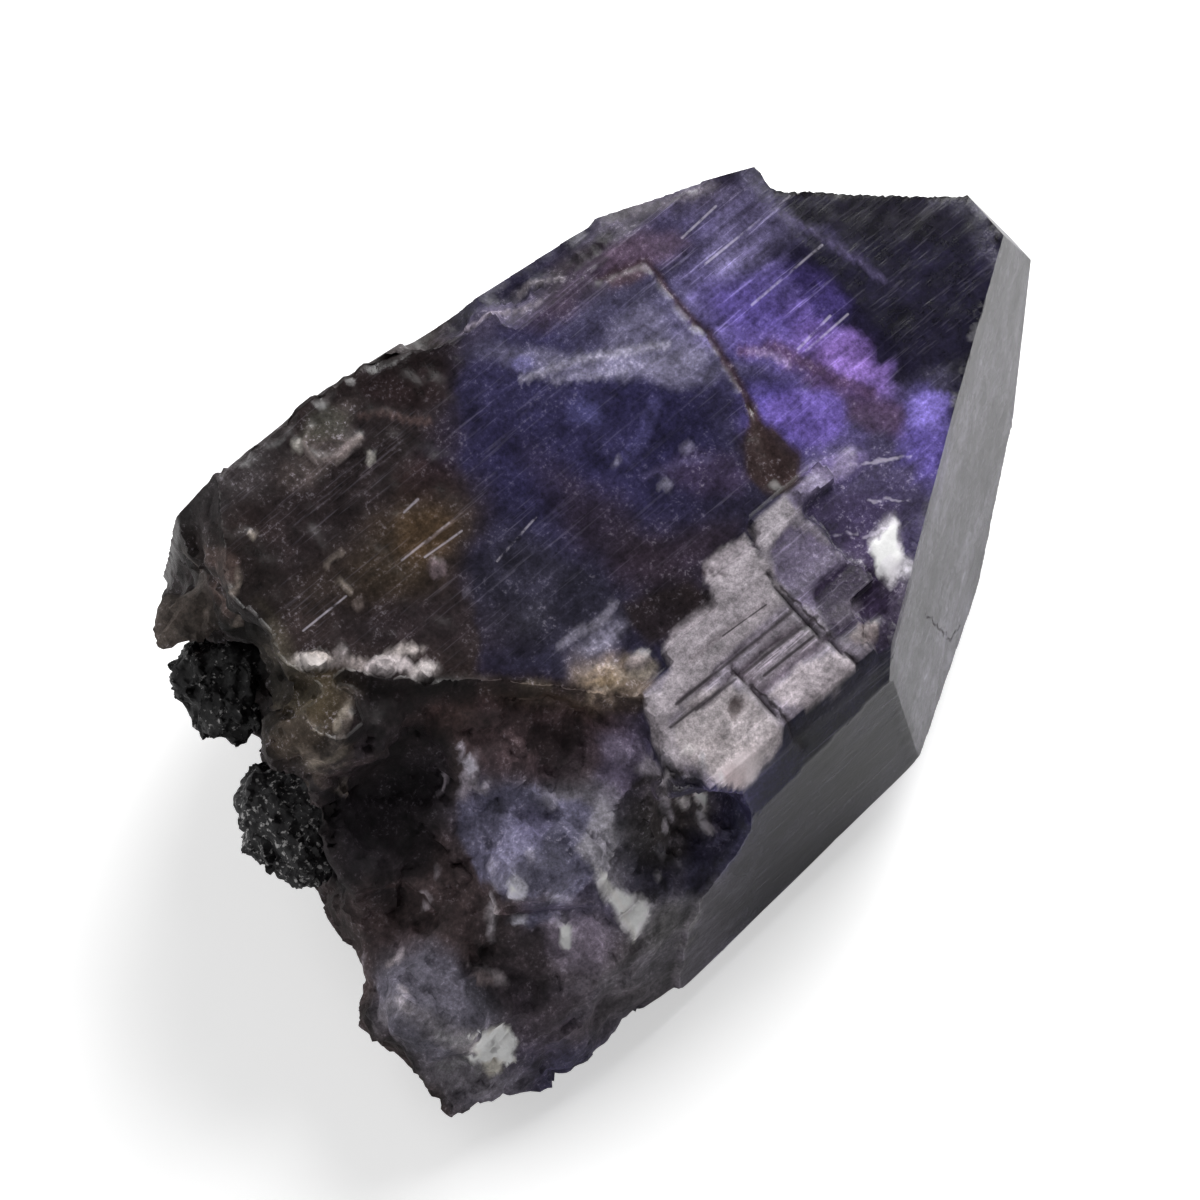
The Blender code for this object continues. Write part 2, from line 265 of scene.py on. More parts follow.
# Marks seen from above, in the order that they are laid on: a patch or a line through points (x, y),
# softness or half width, strength, colour, how flecked, streaked and frosted, and how far it stands proud
stoneMarks = dict(
    paleFan=("patch", ((3.15, 3.08), (3.61, 3.38), (4.19, 3.45), (4.77, 3.33), (4.92, 2.88), (4.71, 2.45),
        (4.28, 2.29), (3.7, 2.58)), 0.36, 0.45, (120, 116, 142), (0.5, 0.2, 0.2), 0),
    veilBand=("line", ((1.6, 3.51), (2.26, 3.05), (2.94, 2.62), (3.51, 2.21), (4.21, 1.79), (4.87, 1.47)), 0.23,
        0.5, (118, 114, 140), (0.9, 0.2, 0.3), 0),
    veilRidge=("line", ((0.97, 3.77), (1.56, 3.57), (2.25, 3.32), (2.89, 2.99), (3.57, 2.62), (4.42, 2.15)), 0.1,
        0.7, (158, 154, 174), (1, 0.2, 0.3), 0.03),
    veilFoot=("line", ((1.56, 3.31), (2.35, 2.79), (3.12, 2.35)), 0.07, 0.7, (140, 136, 160), (1, 0.2, 0.3), 0),
    blueLamp=("patch", ((1.01, 4.3), (1.36, 4.25), (1.57, 3.93), (1.31, 3.84), (1.01, 4.1)), 0.12, 0.7,
        (112, 108, 156), (0.8, 0, 0.2), 0),
    blueSheen=("patch", ((1.44, 2.55), (1.89, 2.49), (2.02, 2.1), (1.76, 1.75), (1.39, 1.97), (1.28, 2.32)), 0.36,
        0.6, (86, 84, 134), (0.6, 0, 0.1), 0),
    blueSheenLow=("line", ((3.15, 1.31), (2.73, 1.05), (2.17, 0.83), (1.67, 0.74)), 0.23, 0.45, (82, 78, 124),
        (0.4, 0, 0.1), 0),
    purpleFreckles=("patch", ((2.02, -0.03), (2.97, -0.12), (3.76, -0.9), (3.5, -1.52), (3.13, -1.72),
        (2.35, -1.1), (2.05, -0.53)), 0.41, 0.5, (78, 64, 92), (0.9, 0, 0.2), 0),
    paleFreckleA=("patch", ((1.62, -0.26), (1.92, -0.21), (2.08, -0.4), (1.86, -0.55)), 0.07, 0.8,
        (150, 146, 170), (0.8, 0, 0.2), 0.02),
    paleFreckleB=("patch", ((2.81, 0.07), (3.09, 0.01), (3.09, -0.21), (2.8, -0.15)), 0.07, 0.8, (140, 134, 164),
        (0.8, 0, 0.2), 0.02),
    paleFreckleC=("line", ((1.64, 0.11), (2.22, -0.11), (2.79, -0.3), (3.25, -0.6)), 0.12, 0.45, (104, 96, 136),
        (0.8, 0, 0.2), 0),
    paleFreckleD=("patch", ((1.16, 0.78), (1.46, 0.87), (1.39, 0.67)), 0.06, 0.8, (140, 136, 160), (0.5, 0, 0.2), 0),
    marginDark=("patch", ((3.55, 5.64), (4.15, 5.55), (4.84, 5.37), (5.54, 5.31), (5.16, 5.05), (4.42, 5.11),
        (3.73, 5.29)), 0.1, 0.85, (48, 40, 48), (0.2, 0.2, 0.2), -0.03),
    marginPink=("patch", ((4.66, 4.82), (5.31, 4.96), (6.05, 4.65), (6.64, 4.19), (6.7, 3.71), (5.89, 3.78),
        (5.16, 3.92), (4.43, 4.16)), 0.36, 0.7, (92, 74, 94), (0.5, 0.3, 0.2), 0),
    marginBrown=("patch", ((4.32, 4.4), (4.8, 4.43), (5.4, 4.16), (5.32, 3.79), (4.8, 3.9), (4.39, 4.12)), 0.12,
        0.7, (66, 50, 56), (0.4, 0, 0.2), 0),
    marginLine=("line", ((0.97, 5.92), (1.26, 5.57), (1.83, 5.46), (2.32, 5.25), (2.83, 5.07)), 0.06, 0.85,
        (150, 140, 154), (0.8, 0, 0.3), 0.03),
    marginLineHigh=("line", ((2.62, 5.75), (3.03, 5.64), (3.45, 5.44), (3.72, 5.21)), 0.07, 0.8, (160, 152, 160),
        (0.9, 0, 0.3), 0.03),
    marginGrey=("patch", ((5.07, 5.82), (6.32, 5.68), (7.42, 5.02), (8.44, 4.6), (8.51, 4.31), (7.53, 4.56),
        (6.4, 5.2), (5.45, 5.64)), 0.12, 0.8, (104, 98, 108), (0.5, 0.3, 0.3), 0),
    marginStrokes=("line", ((7.64, 4.31), (8.39, 4.3), (8.84, 4.29)), 0.12, 0.75, (46, 40, 58), (0.1, 0.5, 0.1), 0),
    marginStrokesB=("line", ((8.35, 3.43), (8.83, 3.39)), 0.07, 0.7, (54, 46, 66), (0.1, 0.5, 0.1), 0),
    greyStreakPatch=("patch", ((6.81, 3.46), (7.85, 3.82), (8.82, 3.73), (9.23, 3.26), (9.36, 2.67), (8.98, 2.11),
        (7.78, 2.31), (6.74, 2.68)), 0.36, 0.5, (94, 88, 120), (0.1, 1, 0.15), 0),
    violetPatch=("patch", ((6.37, 2.48), (7.29, 2.35), (8.37, 1.85), (8.83, 1.06), (8.86, 0.2), (8.2, -0.11),
        (7.12, 0.57), (6.23, 1.27), (6.01, 1.93)), 0.41, 0.55, (74, 62, 124), (0.2, 0.7, 0.1), 0),
    violetSmear=("patch", ((7.44, -0.17), (8.31, -0.36), (8.39, -0.92), (8.07, -1.49), (7.62, -1.48),
        (7.13, -1.02), (7.02, -0.41)), 0.36, 0.75, (118, 92, 158), (0.2, 0.5, 0.1), 0),
    violetSmearLeft=("patch", ((5.25, -0.44), (6.15, -0.59), (6.81, -1.17), (6.89, -1.72), (6.37, -2.14),
        (5.51, -1.95), (5.15, -1.25), (5.04, -0.76)), 0.31, 0.8, (98, 82, 152), (0.2, 0.3, 0.1), 0),
    violetEnd=("patch", ((8.02, -2.61), (8.65, -2.68), (9.1, -3.12), (8.5, -3.65), (8.06, -3.63), (7.79, -3.09)),
        0.15, 0.8, (106, 94, 162), (0.4, 0.2, 0.1), 0),
    purpleVein=("line", ((5.77, 0.9), (6.49, 0.47), (6.83, -0.26), (7.13, -1.02), (7.56, -1.83)), 0.23, 0.75,
        (68, 50, 74), (0.5, 0.1, 0.2), 0),
    purpleVeinLow=("patch", ((6.92, -1.59), (7.65, -2.09), (7.89, -2.74), (7.42, -3.03), (6.79, -2.53),
        (6.61, -2)), 0.31, 0.7, (72, 56, 80), (0.8, 0.1, 0.2), 0),
    lilacEdgeTop=("line", ((6, 0.78), (6.34, 0.32), (6.49, -0.06)), 0.1, 0.6, (132, 116, 152), (0.9, 0, 0.2), 0),
    facetSeam=("line", ((9.07, 2.98), (9.32, 2.27), (9.61, 1.49), (9.78, 0.7), (9.91, 0)), 0.08, 0.65,
        (84, 76, 110), (0.2, 0.2, 0.1), 0),
    facetRim=("line", ((9.42, 3.41), (10.91, 2.26), (12.51, 1), (13.25, 0.47), (13.92, 0.29), (13.03, -0.82)),
        0.1, 0.9, (16, 12, 14), (0, 0, 0), 0),
    crackUpper=("line", ((4.24, 4.47), (4.93, 4.32), (5.5, 4.08), (5.55, 3.67), (5.41, 2.89), (5.37, 2.2)), 0.12,
        0.9, (62, 48, 56), (0.5, 0, 0.3), -0.05),
    crackMiddle=("line", ((5.37, 2.2), (5.47, 1.8), (5.28, 1.04), (5.11, 0.3), (4.95, -0.29)), 0.14, 0.9,
        (56, 42, 50), (0.5, 0, 0.3), -0.06),
    crackLower=("line", ((4.95, -0.29), (4.72, -0.74), (4.43, -1.25), (4.18, -1.99)), 0.25, 0.95, (56, 42, 42),
        (0.5, 0, 0.3), -0.05),
    crackFoot=("patch", ((4.68, -0.43), (4.99, -1.06), (5.12, -1.81), (4.67, -2.27), (4.12, -2.47), (3.72, -2.18),
        (3.6, -1.6), (4.04, -0.96)), 0.15, 0.9, (54, 42, 42), (0.5, 0, 0.2), 0),
    umberFoot=("patch", ((-1.15, -1.89), (-0.34, -2.11), (0.61, -2.54), (0.81, -3.1), (0.68, -3.38),
        (-0.1, -3.27), (-0.88, -3.3), (-1.28, -3.08), (-1.32, -2.49)), 0.31, 0.85, (40, 32, 32), (0.3, 0, 0.2),
        0),
    plumLow=("patch", ((-0.74, -0.76), (0.49, -1.25), (1.73, -1.74), (2.68, -2.18), (2.14, -2.56), (1.19, -2.29),
        (-0.22, -1.98), (-0.98, -1.54)), 0.45, 0.55, (52, 42, 54), (0.3, 0.1, 0.1), 0),
    ripplePale=("patch", ((4.76, -2.18), (6.2, -2.5), (6.41, -2.99), (5.65, -3.05), (4.57, -2.89)), 0.12, 0.65,
        (112, 100, 142), (0.5, 0.2, 0.2), 0.02),
    rippleShade=("patch", ((4.13, -2.81), (5.38, -3.32), (6.08, -4.37), (5.55, -5.09), (4.5, -4.91), (4, -4),
        (3.78, -3.35)), 0.36, 0.55, (58, 48, 76), (1, 0.1, 0.3), 0),
    # The pale plate patches are painted reflection of an overhead light on the flat growth plate
    plateStrip=("patch", ((3.84, -2.58), (4.35, -2.59), (5.11, -2.6), (6.06, -2.49), (6.23, -2.75), (5.82, -2.95),
        (5.16, -2.9), (4.44, -2.92), (3.89, -2.95)), 0.07, 0.85, (132, 122, 152), (0.3, 0.3, 0.2), 0.04),
    plateHook=("patch", ((2.62, -2.52), (3.03, -2.52), (3.84, -2.58), (3.86, -2.98), (3.39, -3.07), (2.82, -3.23),
        (2.43, -3.41), (2.51, -2.99)), 0.07, 0.9, (176, 168, 176), (0.3, 0.3, 0.3), 0.05),
    plateLavender=("patch", ((2.65, -3.2), (3.49, -3.11), (3.79, -3.68), (3.88, -4.3), (3.99, -4.72),
        (3.32, -4.97), (2.41, -5.08), (2.24, -4.56), (2.27, -3.93)), 0.1, 0.85, (94, 84, 112), (0.6, 0.4, 0.2),
        -0.03),
    plateLavenderStripe=("patch", ((2.24, -4.24), (3.4, -4.18), (3.93, -4.28), (3.99, -4.72), (3.16, -4.71),
        (2.3, -4.67)), 0.1, 0.7, (104, 96, 116), (0.4, 0.6, 0.2), 0.02),
    platePurple=("patch", ((2.82, -4.57), (3.89, -4.64), (4.55, -5.22), (4.39, -5.8), (3.8, -6.15), (3.04, -6.1),
        (2.32, -5.98), (2.43, -5.1)), 0.1, 0.95, (44, 34, 56), (0.4, 0.7, 0.2), -0.05),
    platePurpleStripe=("patch", ((2.57, -5.31), (3.21, -5.33), (3.66, -5.48), (3.33, -5.67), (2.61, -5.76)), 0.1,
        0.7, (112, 104, 118), (0.4, 0.5, 0.2), 0.02),
    platePaleReflection=("patch", ((1.21, -2.38), (1.83, -2.41), (2.48, -2.56), (2.38, -3.05), (2.33, -3.66), (2.2, -4.21),
        (2.14, -4.48), (1.64, -4.47), (0.56, -4.51), (-0.51, -4.56), (-1.55, -4.75), (-2.36, -4.81),
        (-2.44, -5.39), (-1.81, -5.44), (-1.05, -5.35), (-0.32, -5.42), (-0.2, -5.99), (-0.22, -6.71),
        (-0.89, -6.89), (-1.81, -6.95), (-2.31, -6.64), (-2.5, -6.07), (-3.03, -5.65), (-2.92, -4.85),
        (-2.62, -4.46), (-2.52, -4.01), (-1.95, -4.12), (-1.33, -3.9), (-1.13, -3.35), (-0.63, -3.18),
        (0.12, -3.22), (0.7, -3.22), (0.95, -2.82)), 0.07, 0.9, (150, 142, 148), (0.2, 0.25, 0.3), 0.03),
    plateLow=("patch", ((-2.24, -4.91), (-2.61, -5.35), (-2.62, -5.72), (-2.55, -6.23), (-2.44, -6.71),
        (-2.13, -6.89), (-1.54, -6.88), (-1, -6.81), (-0.37, -6.77), (-0.34, -6.3), (-0.37, -5.67),
        (-0.56, -5.03), (-1.26, -4.73)), 0.1, 0.85, (166, 157, 160), (0.6, 0.25, 0.3), 0.02),
    plateMiddle=("patch", ((-0.27, -5.26), (-0.07, -4.91), (0.95, -4.82), (1.82, -4.81), (2.16, -5.34),
        (2.01, -5.73), (1.17, -5.64), (0.15, -5.73), (-0.19, -5.52)), 0.1, 0.8, (112, 103, 112), (0.4, 0.8, 0.3),
        0),
    plateRight=("patch", ((0.05, -5.84), (1.16, -5.83), (1.93, -6.09), (2.32, -6.4), (2.29, -6.72), (1.5, -6.75),
        (0.52, -6.69), (0.18, -6.3)), 0.07, 0.9, (172, 162, 168), (0.3, 0.3, 0.3), 0.03),
    plateChip=("patch", ((2.59, -6.13), (3.14, -5.99), (3.54, -6.17), (3.32, -6.45), (2.81, -6.47)), 0.07, 0.8,
        (136, 124, 124), (0.6, 0, 0.3), 0.02),
    plateStripeA=("line", ((-1.78, -4.64), (-0.84, -4.65), (0.09, -4.65), (1.09, -4.68), (1.98, -4.71)), 0.07,
        0.9, (62, 52, 62), (0, 0.2, 0.2), -0.04),
    plateStripeB=("line", ((-1.43, -5.05), (-0.45, -5.02), (0.58, -5.02), (1.54, -5.1), (2.3, -5.19)), 0.07, 0.85,
        (62, 52, 62), (0, 0.2, 0.2), -0.04),
    plateStripeC=("line", ((-2.35, -4.95), (-1.74, -4.95), (-1.25, -5)), 0.05, 0.7, (84, 74, 82), (0, 0.2, 0.2),
        -0.03),
    plateStripeD=("line", ((-0.88, -4.07), (-0.05, -4.09), (0.92, -4.15), (1.64, -4.21)), 0.05, 0.6,
        (116, 106, 112), (0, 0.2, 0.2), -0.03),
    plateStripeE=("line", ((-0.03, -5.71), (0.76, -5.71), (1.51, -5.75), (2.2, -5.75)), 0.12, 0.75, (74, 62, 76),
        (0, 0.4, 0.2), -0.04),
    plateCrossA=("line", ((2.22, -3.63), (2.06, -4.35), (2.02, -5.1), (2.19, -5.97), (2.33, -6.68)), 0.11, 0.9,
        (38, 30, 38), (0, 0, 0.3), -0.08),
    plateCrossB=("line", ((-0.18, -4.82), (-0.15, -5.49), (-0.16, -6.12), (-0.09, -6.76), (0.1, -7)), 0.08, 0.9,
        (46, 38, 44), (0, 0, 0.3), -0.07),
    plateCrossC=("line", ((2.7, -2.51), (2.49, -2.97), (2.35, -3.22)), 0.06, 0.8, (50, 42, 50), (0, 0, 0.3), -0.05),
    plateNick=("line", ((1.07, -2.56), (1.27, -2.78), (1.27, -3.05)), 0.05, 0.8, (70, 60, 66), (0, 0, 0.3), -0.04),
    platePit=("patch", ((-1.04, -5.55), (-0.79, -5.37), (-0.52, -5.51), (-0.66, -5.66), (-1.1, -5.82)), 0.07,
        0.85, (66, 52, 52), (0.3, 0, 0.3), -0.08),
    platePitLow=("patch", ((-2.25, -6.59), (-1.89, -6.56), (-1.64, -6.77), (-1.86, -6.9), (-2.23, -6.77)), 0.1,
        0.6, (110, 92, 94), (0.9, 0, 0.4), -0.05),
    plateGrainLow=("patch", ((-2.34, -5.56), (-1.59, -5.84), (-1.1, -6.56), (-1.2, -6.85), (-2, -6.78),
        (-2.5, -6.07)), 0.2, 0.5, (162, 152, 154), (1, 0, 0.5), 0),
    plateEdgeDark=("patch", ((-2.06, -6.98), (-1.94, -6.91), (-0.23, -6.91), (1.75, -7.01), (2.8, -6.99),
        (3.17, -6.78), (2.43, -6.72), (1.46, -6.79), (0.48, -6.73), (-0.14, -6.81), (-0.93, -6.93), (-1.76, -7)),
        0.15, 0.75, (40, 37, 54), (0.1, 0.2, 0.1), 0),
    paleLoop=("line", ((-3.94, 6.04), (-4.37, 5.86), (-4.42, 5.38), (-4.04, 5.08), (-3.49, 5.1), (-3.16, 5.1)),
        0.09, 0.85, (132, 122, 120), (0.8, 0, 0.4), 0.05),
    paleLoopFill=("patch", ((-4.42, 5.31), (-3.79, 5.27), (-3.31, 5.15), (-3.76, 5.02), (-4.23, 5.1)), 0.1, 0.7,
        (120, 108, 108), (0.6, 0, 0.4), 0.03),
    mossEdge=("patch", ((-4.38, 5.99), (-3.75, 6.31), (-3.16, 6.16), (-2.99, 5.71), (-3.43, 5.41), (-4, 5.69)),
        0.31, 0.7, (74, 72, 64), (1, 0, 0.4), 0),
    spotA=("patch", ((-4.55, 6.06), (-4.38, 5.99), (-4.52, 5.78), (-4.65, 5.88)), 0.07, 0.9, (170, 166, 160),
        (0, 0, 0.4), 0.04),
    spotB=("patch", ((-3.31, 4.76), (-3.19, 4.67), (-3.35, 4.47), (-3.5, 4.52)), 0.06, 0.9, (180, 176, 170),
        (0, 0, 0.4), 0.04),
    spotC=("patch", ((-4.26, 1.64), (-3.96, 1.79), (-3.76, 1.57), (-3.93, 1.32), (-4.23, 1.43)), 0.1, 0.8,
        (128, 112, 118), (0.6, 0, 0.3), 0.03),
    spotD=("patch", ((-6.89, 5.08), (-6.78, 4.99), (-6.88, 4.87), (-6.99, 4.96)), 0.06, 0.9, (170, 160, 150),
        (0, 0, 0.3), 0.03),
    spotE=("line", ((-6.12, 2.8), (-6.07, 2.57), (-6.03, 2.41)), 0.06, 0.8, (130, 120, 112), (0.3, 0, 0.3), 0.02),
    spotF=("line", ((-6.06, 3.29), (-5.82, 3.33), (-5.6, 3.28)), 0.06, 0.7, (120, 110, 104), (0.3, 0, 0.3), 0.02),
    spotG=("patch", ((-6.24, 2.19), (-5.94, 2.15), (-5.97, 1.91), (-6.19, 1.96)), 0.07, 0.7, (120, 108, 104),
        (0.5, 0, 0.3), 0.02),
    spotH=("patch", ((-3.91, 0.85), (-3.72, 0.77), (-3.82, 0.59), (-4.01, 0.67)), 0.07, 0.7, (106, 100, 114),
        (0.3, 0, 0.3), 0.02),
    redLine=("line", ((-2.79, 5.55), (-2.26, 5.23), (-1.98, 4.82), (-1.57, 4.37)), 0.07, 0.6, (96, 78, 76),
        (0.6, 0, 0.3), 0.02),
    redBrownTop=("patch", ((-2.74, 6.32), (-1.05, 5.98), (0, 5.49), (-0.76, 4.44), (-1.55, 4.74), (-2.43, 5.59)),
        0.45, 0.8, (34, 24, 25), (0.2, 0.1, 0.2), 0),
    redBrownLow=("patch", ((-3.36, 3.89), (-2.35, 3.9), (-1.86, 3.36), (-2.29, 2.73), (-2.94, 2.92),
        (-3.48, 3.41)), 0.41, 0.6, (42, 29, 27), (0.2, 0.1, 0.2), 0),
    oliveGold=("patch", ((-3.87, 3.01), (-3.08, 2.77), (-2.82, 2.17), (-3.4, 1.73), (-4.22, 1.93), (-4.43, 2.48)),
        0.41, 0.6, (84, 66, 48), (0.4, 0.6, 0.1), 0),
    pinkFlesh=("patch", ((-7.89, 5.86), (-7.74, 5.23), (-7.67, 4.73), (-8.01, 4.3), (-8.32, 4.44), (-7.95, 5.55)),
        0.15, 0.7, (96, 80, 76), (0.6, 0, 0.4), 0),
    pinkGlint=("line", ((-7.87, 4.51), (-8.04, 4.26), (-8.29, 4.2)), 0.06, 0.8, (140, 128, 120), (0.3, 0, 0.4), 0.02),
    leftShadow=("patch", ((-7.37, 4.98), (-6.84, 4.71), (-7.02, 4.06), (-7.55, 3.84), (-7.97, 4.27)), 0.41, 0.5,
        (34, 28, 28), (0.1, 0, 0.2), 0),
    slateLow=("patch", ((-3.23, 1.21), (-1.92, 0.82), (-1.11, -0.79), (-1.24, -1.98), (-2.34, -2.07),
        (-3.47, -1.49), (-4.16, -0.46), (-3.97, 0.51)), 0.54, 0.5, (48, 46, 58), (0.2, 0.3, 0.1), 0),
    slatePale=("patch", ((-3.33, -0.48), (-2.69, -0.51), (-2.4, -0.8), (-2.93, -1.11), (-3.49, -0.99)), 0.36,
        0.45, (74, 72, 86), (0.3, 0.3, 0.2), 0),
    seamGrainA=("patch", ((-8.39, 1.89), (-8.1, 2.1), (-7.93, 1.77), (-7.75, 1.45), (-7.96, 1.41), (-8.25, 1.69)),
        0.06, 0.95, (206, 198, 196), (0, 0, 0.5), 0),
    seamGrainB=("patch", ((-7.14, 0.87), (-6.8, 0.88), (-6.36, 0.65), (-6.07, 0.33), (-6.15, 0.14), (-6.69, 0.3),
        (-7.04, 0.63)), 0.06, 0.95, (196, 186, 188), (0.1, 0, 0.5), 0),
    seamGrainC=("patch", ((-6.41, -0.16), (-6.13, 0.02), (-5.85, -0.04), (-5.78, -0.31), (-6.18, -0.39)), 0.06,
        0.95, (190, 182, 182), (0.1, 0, 0.5), 0),
    seamLink=("line", ((-7.83, 1.43), (-7.36, 1.23), (-7.11, 0.91)), 0.09, 0.7, (120, 112, 112), (0.6, 0, 0.4), 0.04),
    seamSpecks=("patch", ((-7.44, 1.68), (-7.12, 1.49), (-7.24, 1.26), (-7.54, 1.44)), 0.07, 0.7, (128, 120, 120),
        (0.9, 0, 0.4), 0.03),
    hazeLow=("line", ((-3.01, -1.72), (-2.39, -1.77), (-1.86, -1.93), (-1.26, -1.77)), 0.15, 0.75,
        (128, 124, 140), (1, 0, 0.3), 0.02),
    rimWear=("line", ((-5.81, -0.45), (-5.12, -1.12), (-4.44, -1.8), (-3.75, -2.49), (-3.12, -3.23),
        (-2.5, -3.99)), 0.2, 0.85, (60, 48, 46), (0.6, 0, 0.4), -0.1),
    creamGrain=("patch", ((-2.11, -3.06), (-1.71, -2.96), (-1.4, -3.14), (-1.48, -3.39), (-1.85, -3.39),
        (-2.1, -3.22)), 0.07, 0.9, (178, 164, 164), (0.3, 0, 0.5), 0.08),
    creamRing=("line", ((-3.1, -2.68), (-2.73, -2.65), (-2.41, -2.91), (-2.46, -3.25), (-2.83, -3.35),
        (-3.11, -3.15), (-3.31, -3.08)), 0.09, 0.75, (158, 140, 124), (0.9, 0, 0.5), 0.05),
    creamDark=("patch", ((-2.95, -2.99), (-2.63, -2.93), (-2.54, -3.19), (-2.79, -3.31), (-3.02, -3.19)), 0.07,
        0.7, (84, 68, 54), (0.3, 0, 0.3), -0.04),
    creamFoot=("line", ((-3.11, -3.15), (-3.03, -3.35), (-2.94, -3.5)), 0.07, 0.7, (150, 132, 118), (0.8, 0, 0.4),
        0.03),
    creamLeft=("patch", ((-4.47, -1.84), (-4.14, -1.85), (-3.83, -2.22), (-3.94, -2.4), (-4.24, -2.12)), 0.12,
        0.6, (104, 92, 80), (1, 0, 0.4), 0.02),
    lumpGlint=("line", ((-8.18, 0.23), (-8.45, 0.01), (-8.79, -0.1), (-8.96, -0.03)), 0.09, 0.9, (186, 172, 162),
        (0.2, 0, 0.4), 0.06),
    lumpFlecks=("patch", ((-9.23, 1.2), (-8.89, 0.77), (-9.05, 0.32), (-9.38, 0.31), (-9.55, 0.56),
        (-9.65, 0.83)), 0.36, 0.5, (96, 84, 74), (1, 0, 0.4), 0),
    lumpPale=("patch", ((-8.48, 2.66), (-8.51, 1.62), (-8.38, 1.11), (-8.78, 0.78), (-9.04, 1.42)), 0.36, 0.55,
        (76, 68, 54), (0.6, 0, 0.3), 0),
    lumpFoot=("line", ((-9.55, 0.56), (-9.23, 0.1), (-8.71, -0.18)), 0.07, 0.6, (120, 108, 98), (0.9, 0, 0.4), 0.02),
    saddleOlive=("patch", ((-7.96, 3.62), (-7.88, 3.14), (-8.02, 2.46), (-8.41, 1.72), (-8.89, 1.58),
        (-8.62, 2.75), (-8.06, 3.2)), 0.36, 0.6, (78, 72, 62), (0.4, 0, 0.3), 0),
    # Painted shade: the deep trough below the brown lump is painted near black
    troughShadePatch=("patch", ((-7.81, 0.41), (-7.03, 0.65), (-6.42, -0.11), (-5.8, -0.43), (-5.12, -1.12),
        (-5.33, -1.26), (-6.33, -0.63), (-7.58, -0.54), (-8.45, -0.39), (-8.78, -0.16), (-9.43, 0.01),
        (-9.07, 0)), 0.31, 0.9, (24, 18, 20), (0.05, 0, 0.3), 0),
    blackFoot=("patch", ((-9.44, 0.35), (-8.78, -0.16), (-7.32, -0.56), (-6.55, -1.36), (-7.1, -2.1),
        (-8.31, -2.62), (-9.12, -2.39), (-10.09, -1.63), (-9.54, -0.45), (-9.6, -0.01)), 0.41, 0.85, (24, 20, 24),
        (0.08, 0, 0.3), 0),
    redBrownBowl=("patch", ((-5.8, -1.3), (-4.74, -1.76), (-3.67, -2.75), (-3.32, -3.44), (-3.75, -3.96),
        (-4.3, -4.1), (-5.23, -3.31), (-6.21, -2.59), (-6.34, -1.95)), 0.41, 0.75, (58, 46, 48), (0.3, 0, 0.3),
        0),
    brownBowlEdge=("line", ((-6.27, -1.67), (-6.44, -1.98), (-6.53, -2.39)), 0.07, 0.8, (110, 104, 112),
        (0.5, 0, 0.3), 0.04),
    bowlGlintA=("patch", ((-6.4, -1.91), (-6.2, -1.95), (-6.33, -2.22), (-6.54, -2.15)), 0.07, 0.9,
        (140, 136, 146), (0.3, 0, 0.4), 0.05),
    bowlGlintB=("patch", ((-6.6, -2.43), (-6.35, -2.52), (-6.18, -2.62), (-6.42, -2.66)), 0.07, 0.85,
        (134, 128, 138), (0.3, 0, 0.4), 0.05),
    bowlGlintC=("line", ((-7.16, -1.7), (-6.99, -1.7), (-6.91, -1.58)), 0.05, 0.8, (130, 122, 130), (0.3, 0, 0.4),
        0.03),
    lilacBlob=("patch", ((-6.98, -2.31), (-6.54, -2.57), (-5.94, -3), (-5.37, -3.32), (-5.21, -3.85),
        (-4.71, -4.24), (-4.54, -4.7), (-4.72, -5.3), (-5.42, -5.75), (-5.85, -5.78), (-6.33, -5.68),
        (-6.89, -5.39), (-7.35, -5.1), (-7.69, -4.64), (-7.72, -3.78), (-7.53, -3.16), (-7.27, -2.54)), 0.12,
        0.85, (84, 82, 102), (0.5, 0, 0.4), 0.03),
    lilacShade=("patch", ((-6.31, -3.38), (-5.81, -3.57), (-5.56, -4.07), (-6.14, -4.43), (-6.56, -3.99)), 0.36,
        0.6, (66, 62, 84), (0.3, 0, 0.3), -0.03),
    lilacGrainA=("patch", ((-7.63, -4.68), (-7.39, -4.51), (-7.18, -4.57), (-7.19, -4.86), (-7.39, -5),
        (-7.59, -4.86)), 0.07, 0.9, (182, 180, 192), (0, 0, 0.4), 0.06),
    lilacGrainB=("patch", ((-6.68, -4.26), (-6.5, -4.29), (-6.6, -4.59), (-6.83, -4.63)), 0.07, 0.7,
        (140, 136, 152), (0.3, 0, 0.4), 0.04),
    lilacGrainC=("patch", ((-7.51, -3.79), (-7.32, -3.8), (-7.34, -4.1), (-7.6, -4.17)), 0.07, 0.7,
        (132, 128, 146), (0.3, 0, 0.4), 0.04),
    lilacGrainD=("patch", ((-6.82, -5.42), (-6.6, -5.44), (-6.33, -5.64), (-6.48, -5.66), (-6.74, -5.44)), 0.07,
        0.7, (132, 128, 146), (0.4, 0, 0.4), 0.04),
    lilacCorner=("patch", ((-5.45, -3.54), (-5.15, -3.58), (-5.21, -3.85), (-5.38, -4.03), (-5.45, -3.82)), 0.07,
        0.7, (132, 128, 142), (0.4, 0, 0.4), 0.03),
    spear=("patch", ((-5.64, -5.49), (-5.5, -5.77), (-5.35, -6.04), (-5.21, -6.38), (-4.9, -6.55), (-4.96, -6.79),
        (-5.27, -6.94), (-5.62, -7.02), (-5.76, -6.81), (-5.62, -6.25), (-5.71, -5.91)), 0.1, 0.9,
        (190, 187, 190), (0.2, 0.1, 0.4), 0.05),
    spearCore=("line", ((-5.53, -5.79), (-5.46, -6.15), (-5.54, -6.65), (-5.59, -6.99)), 0.09, 0.85,
        (172, 170, 168), (0.1, 0.1, 0.4), 0.03),
    spearVeil=("patch", ((-5.74, -5.07), (-4.72, -4.6), (-4.33, -4.59), (-4.34, -4.96), (-4.63, -5.43),
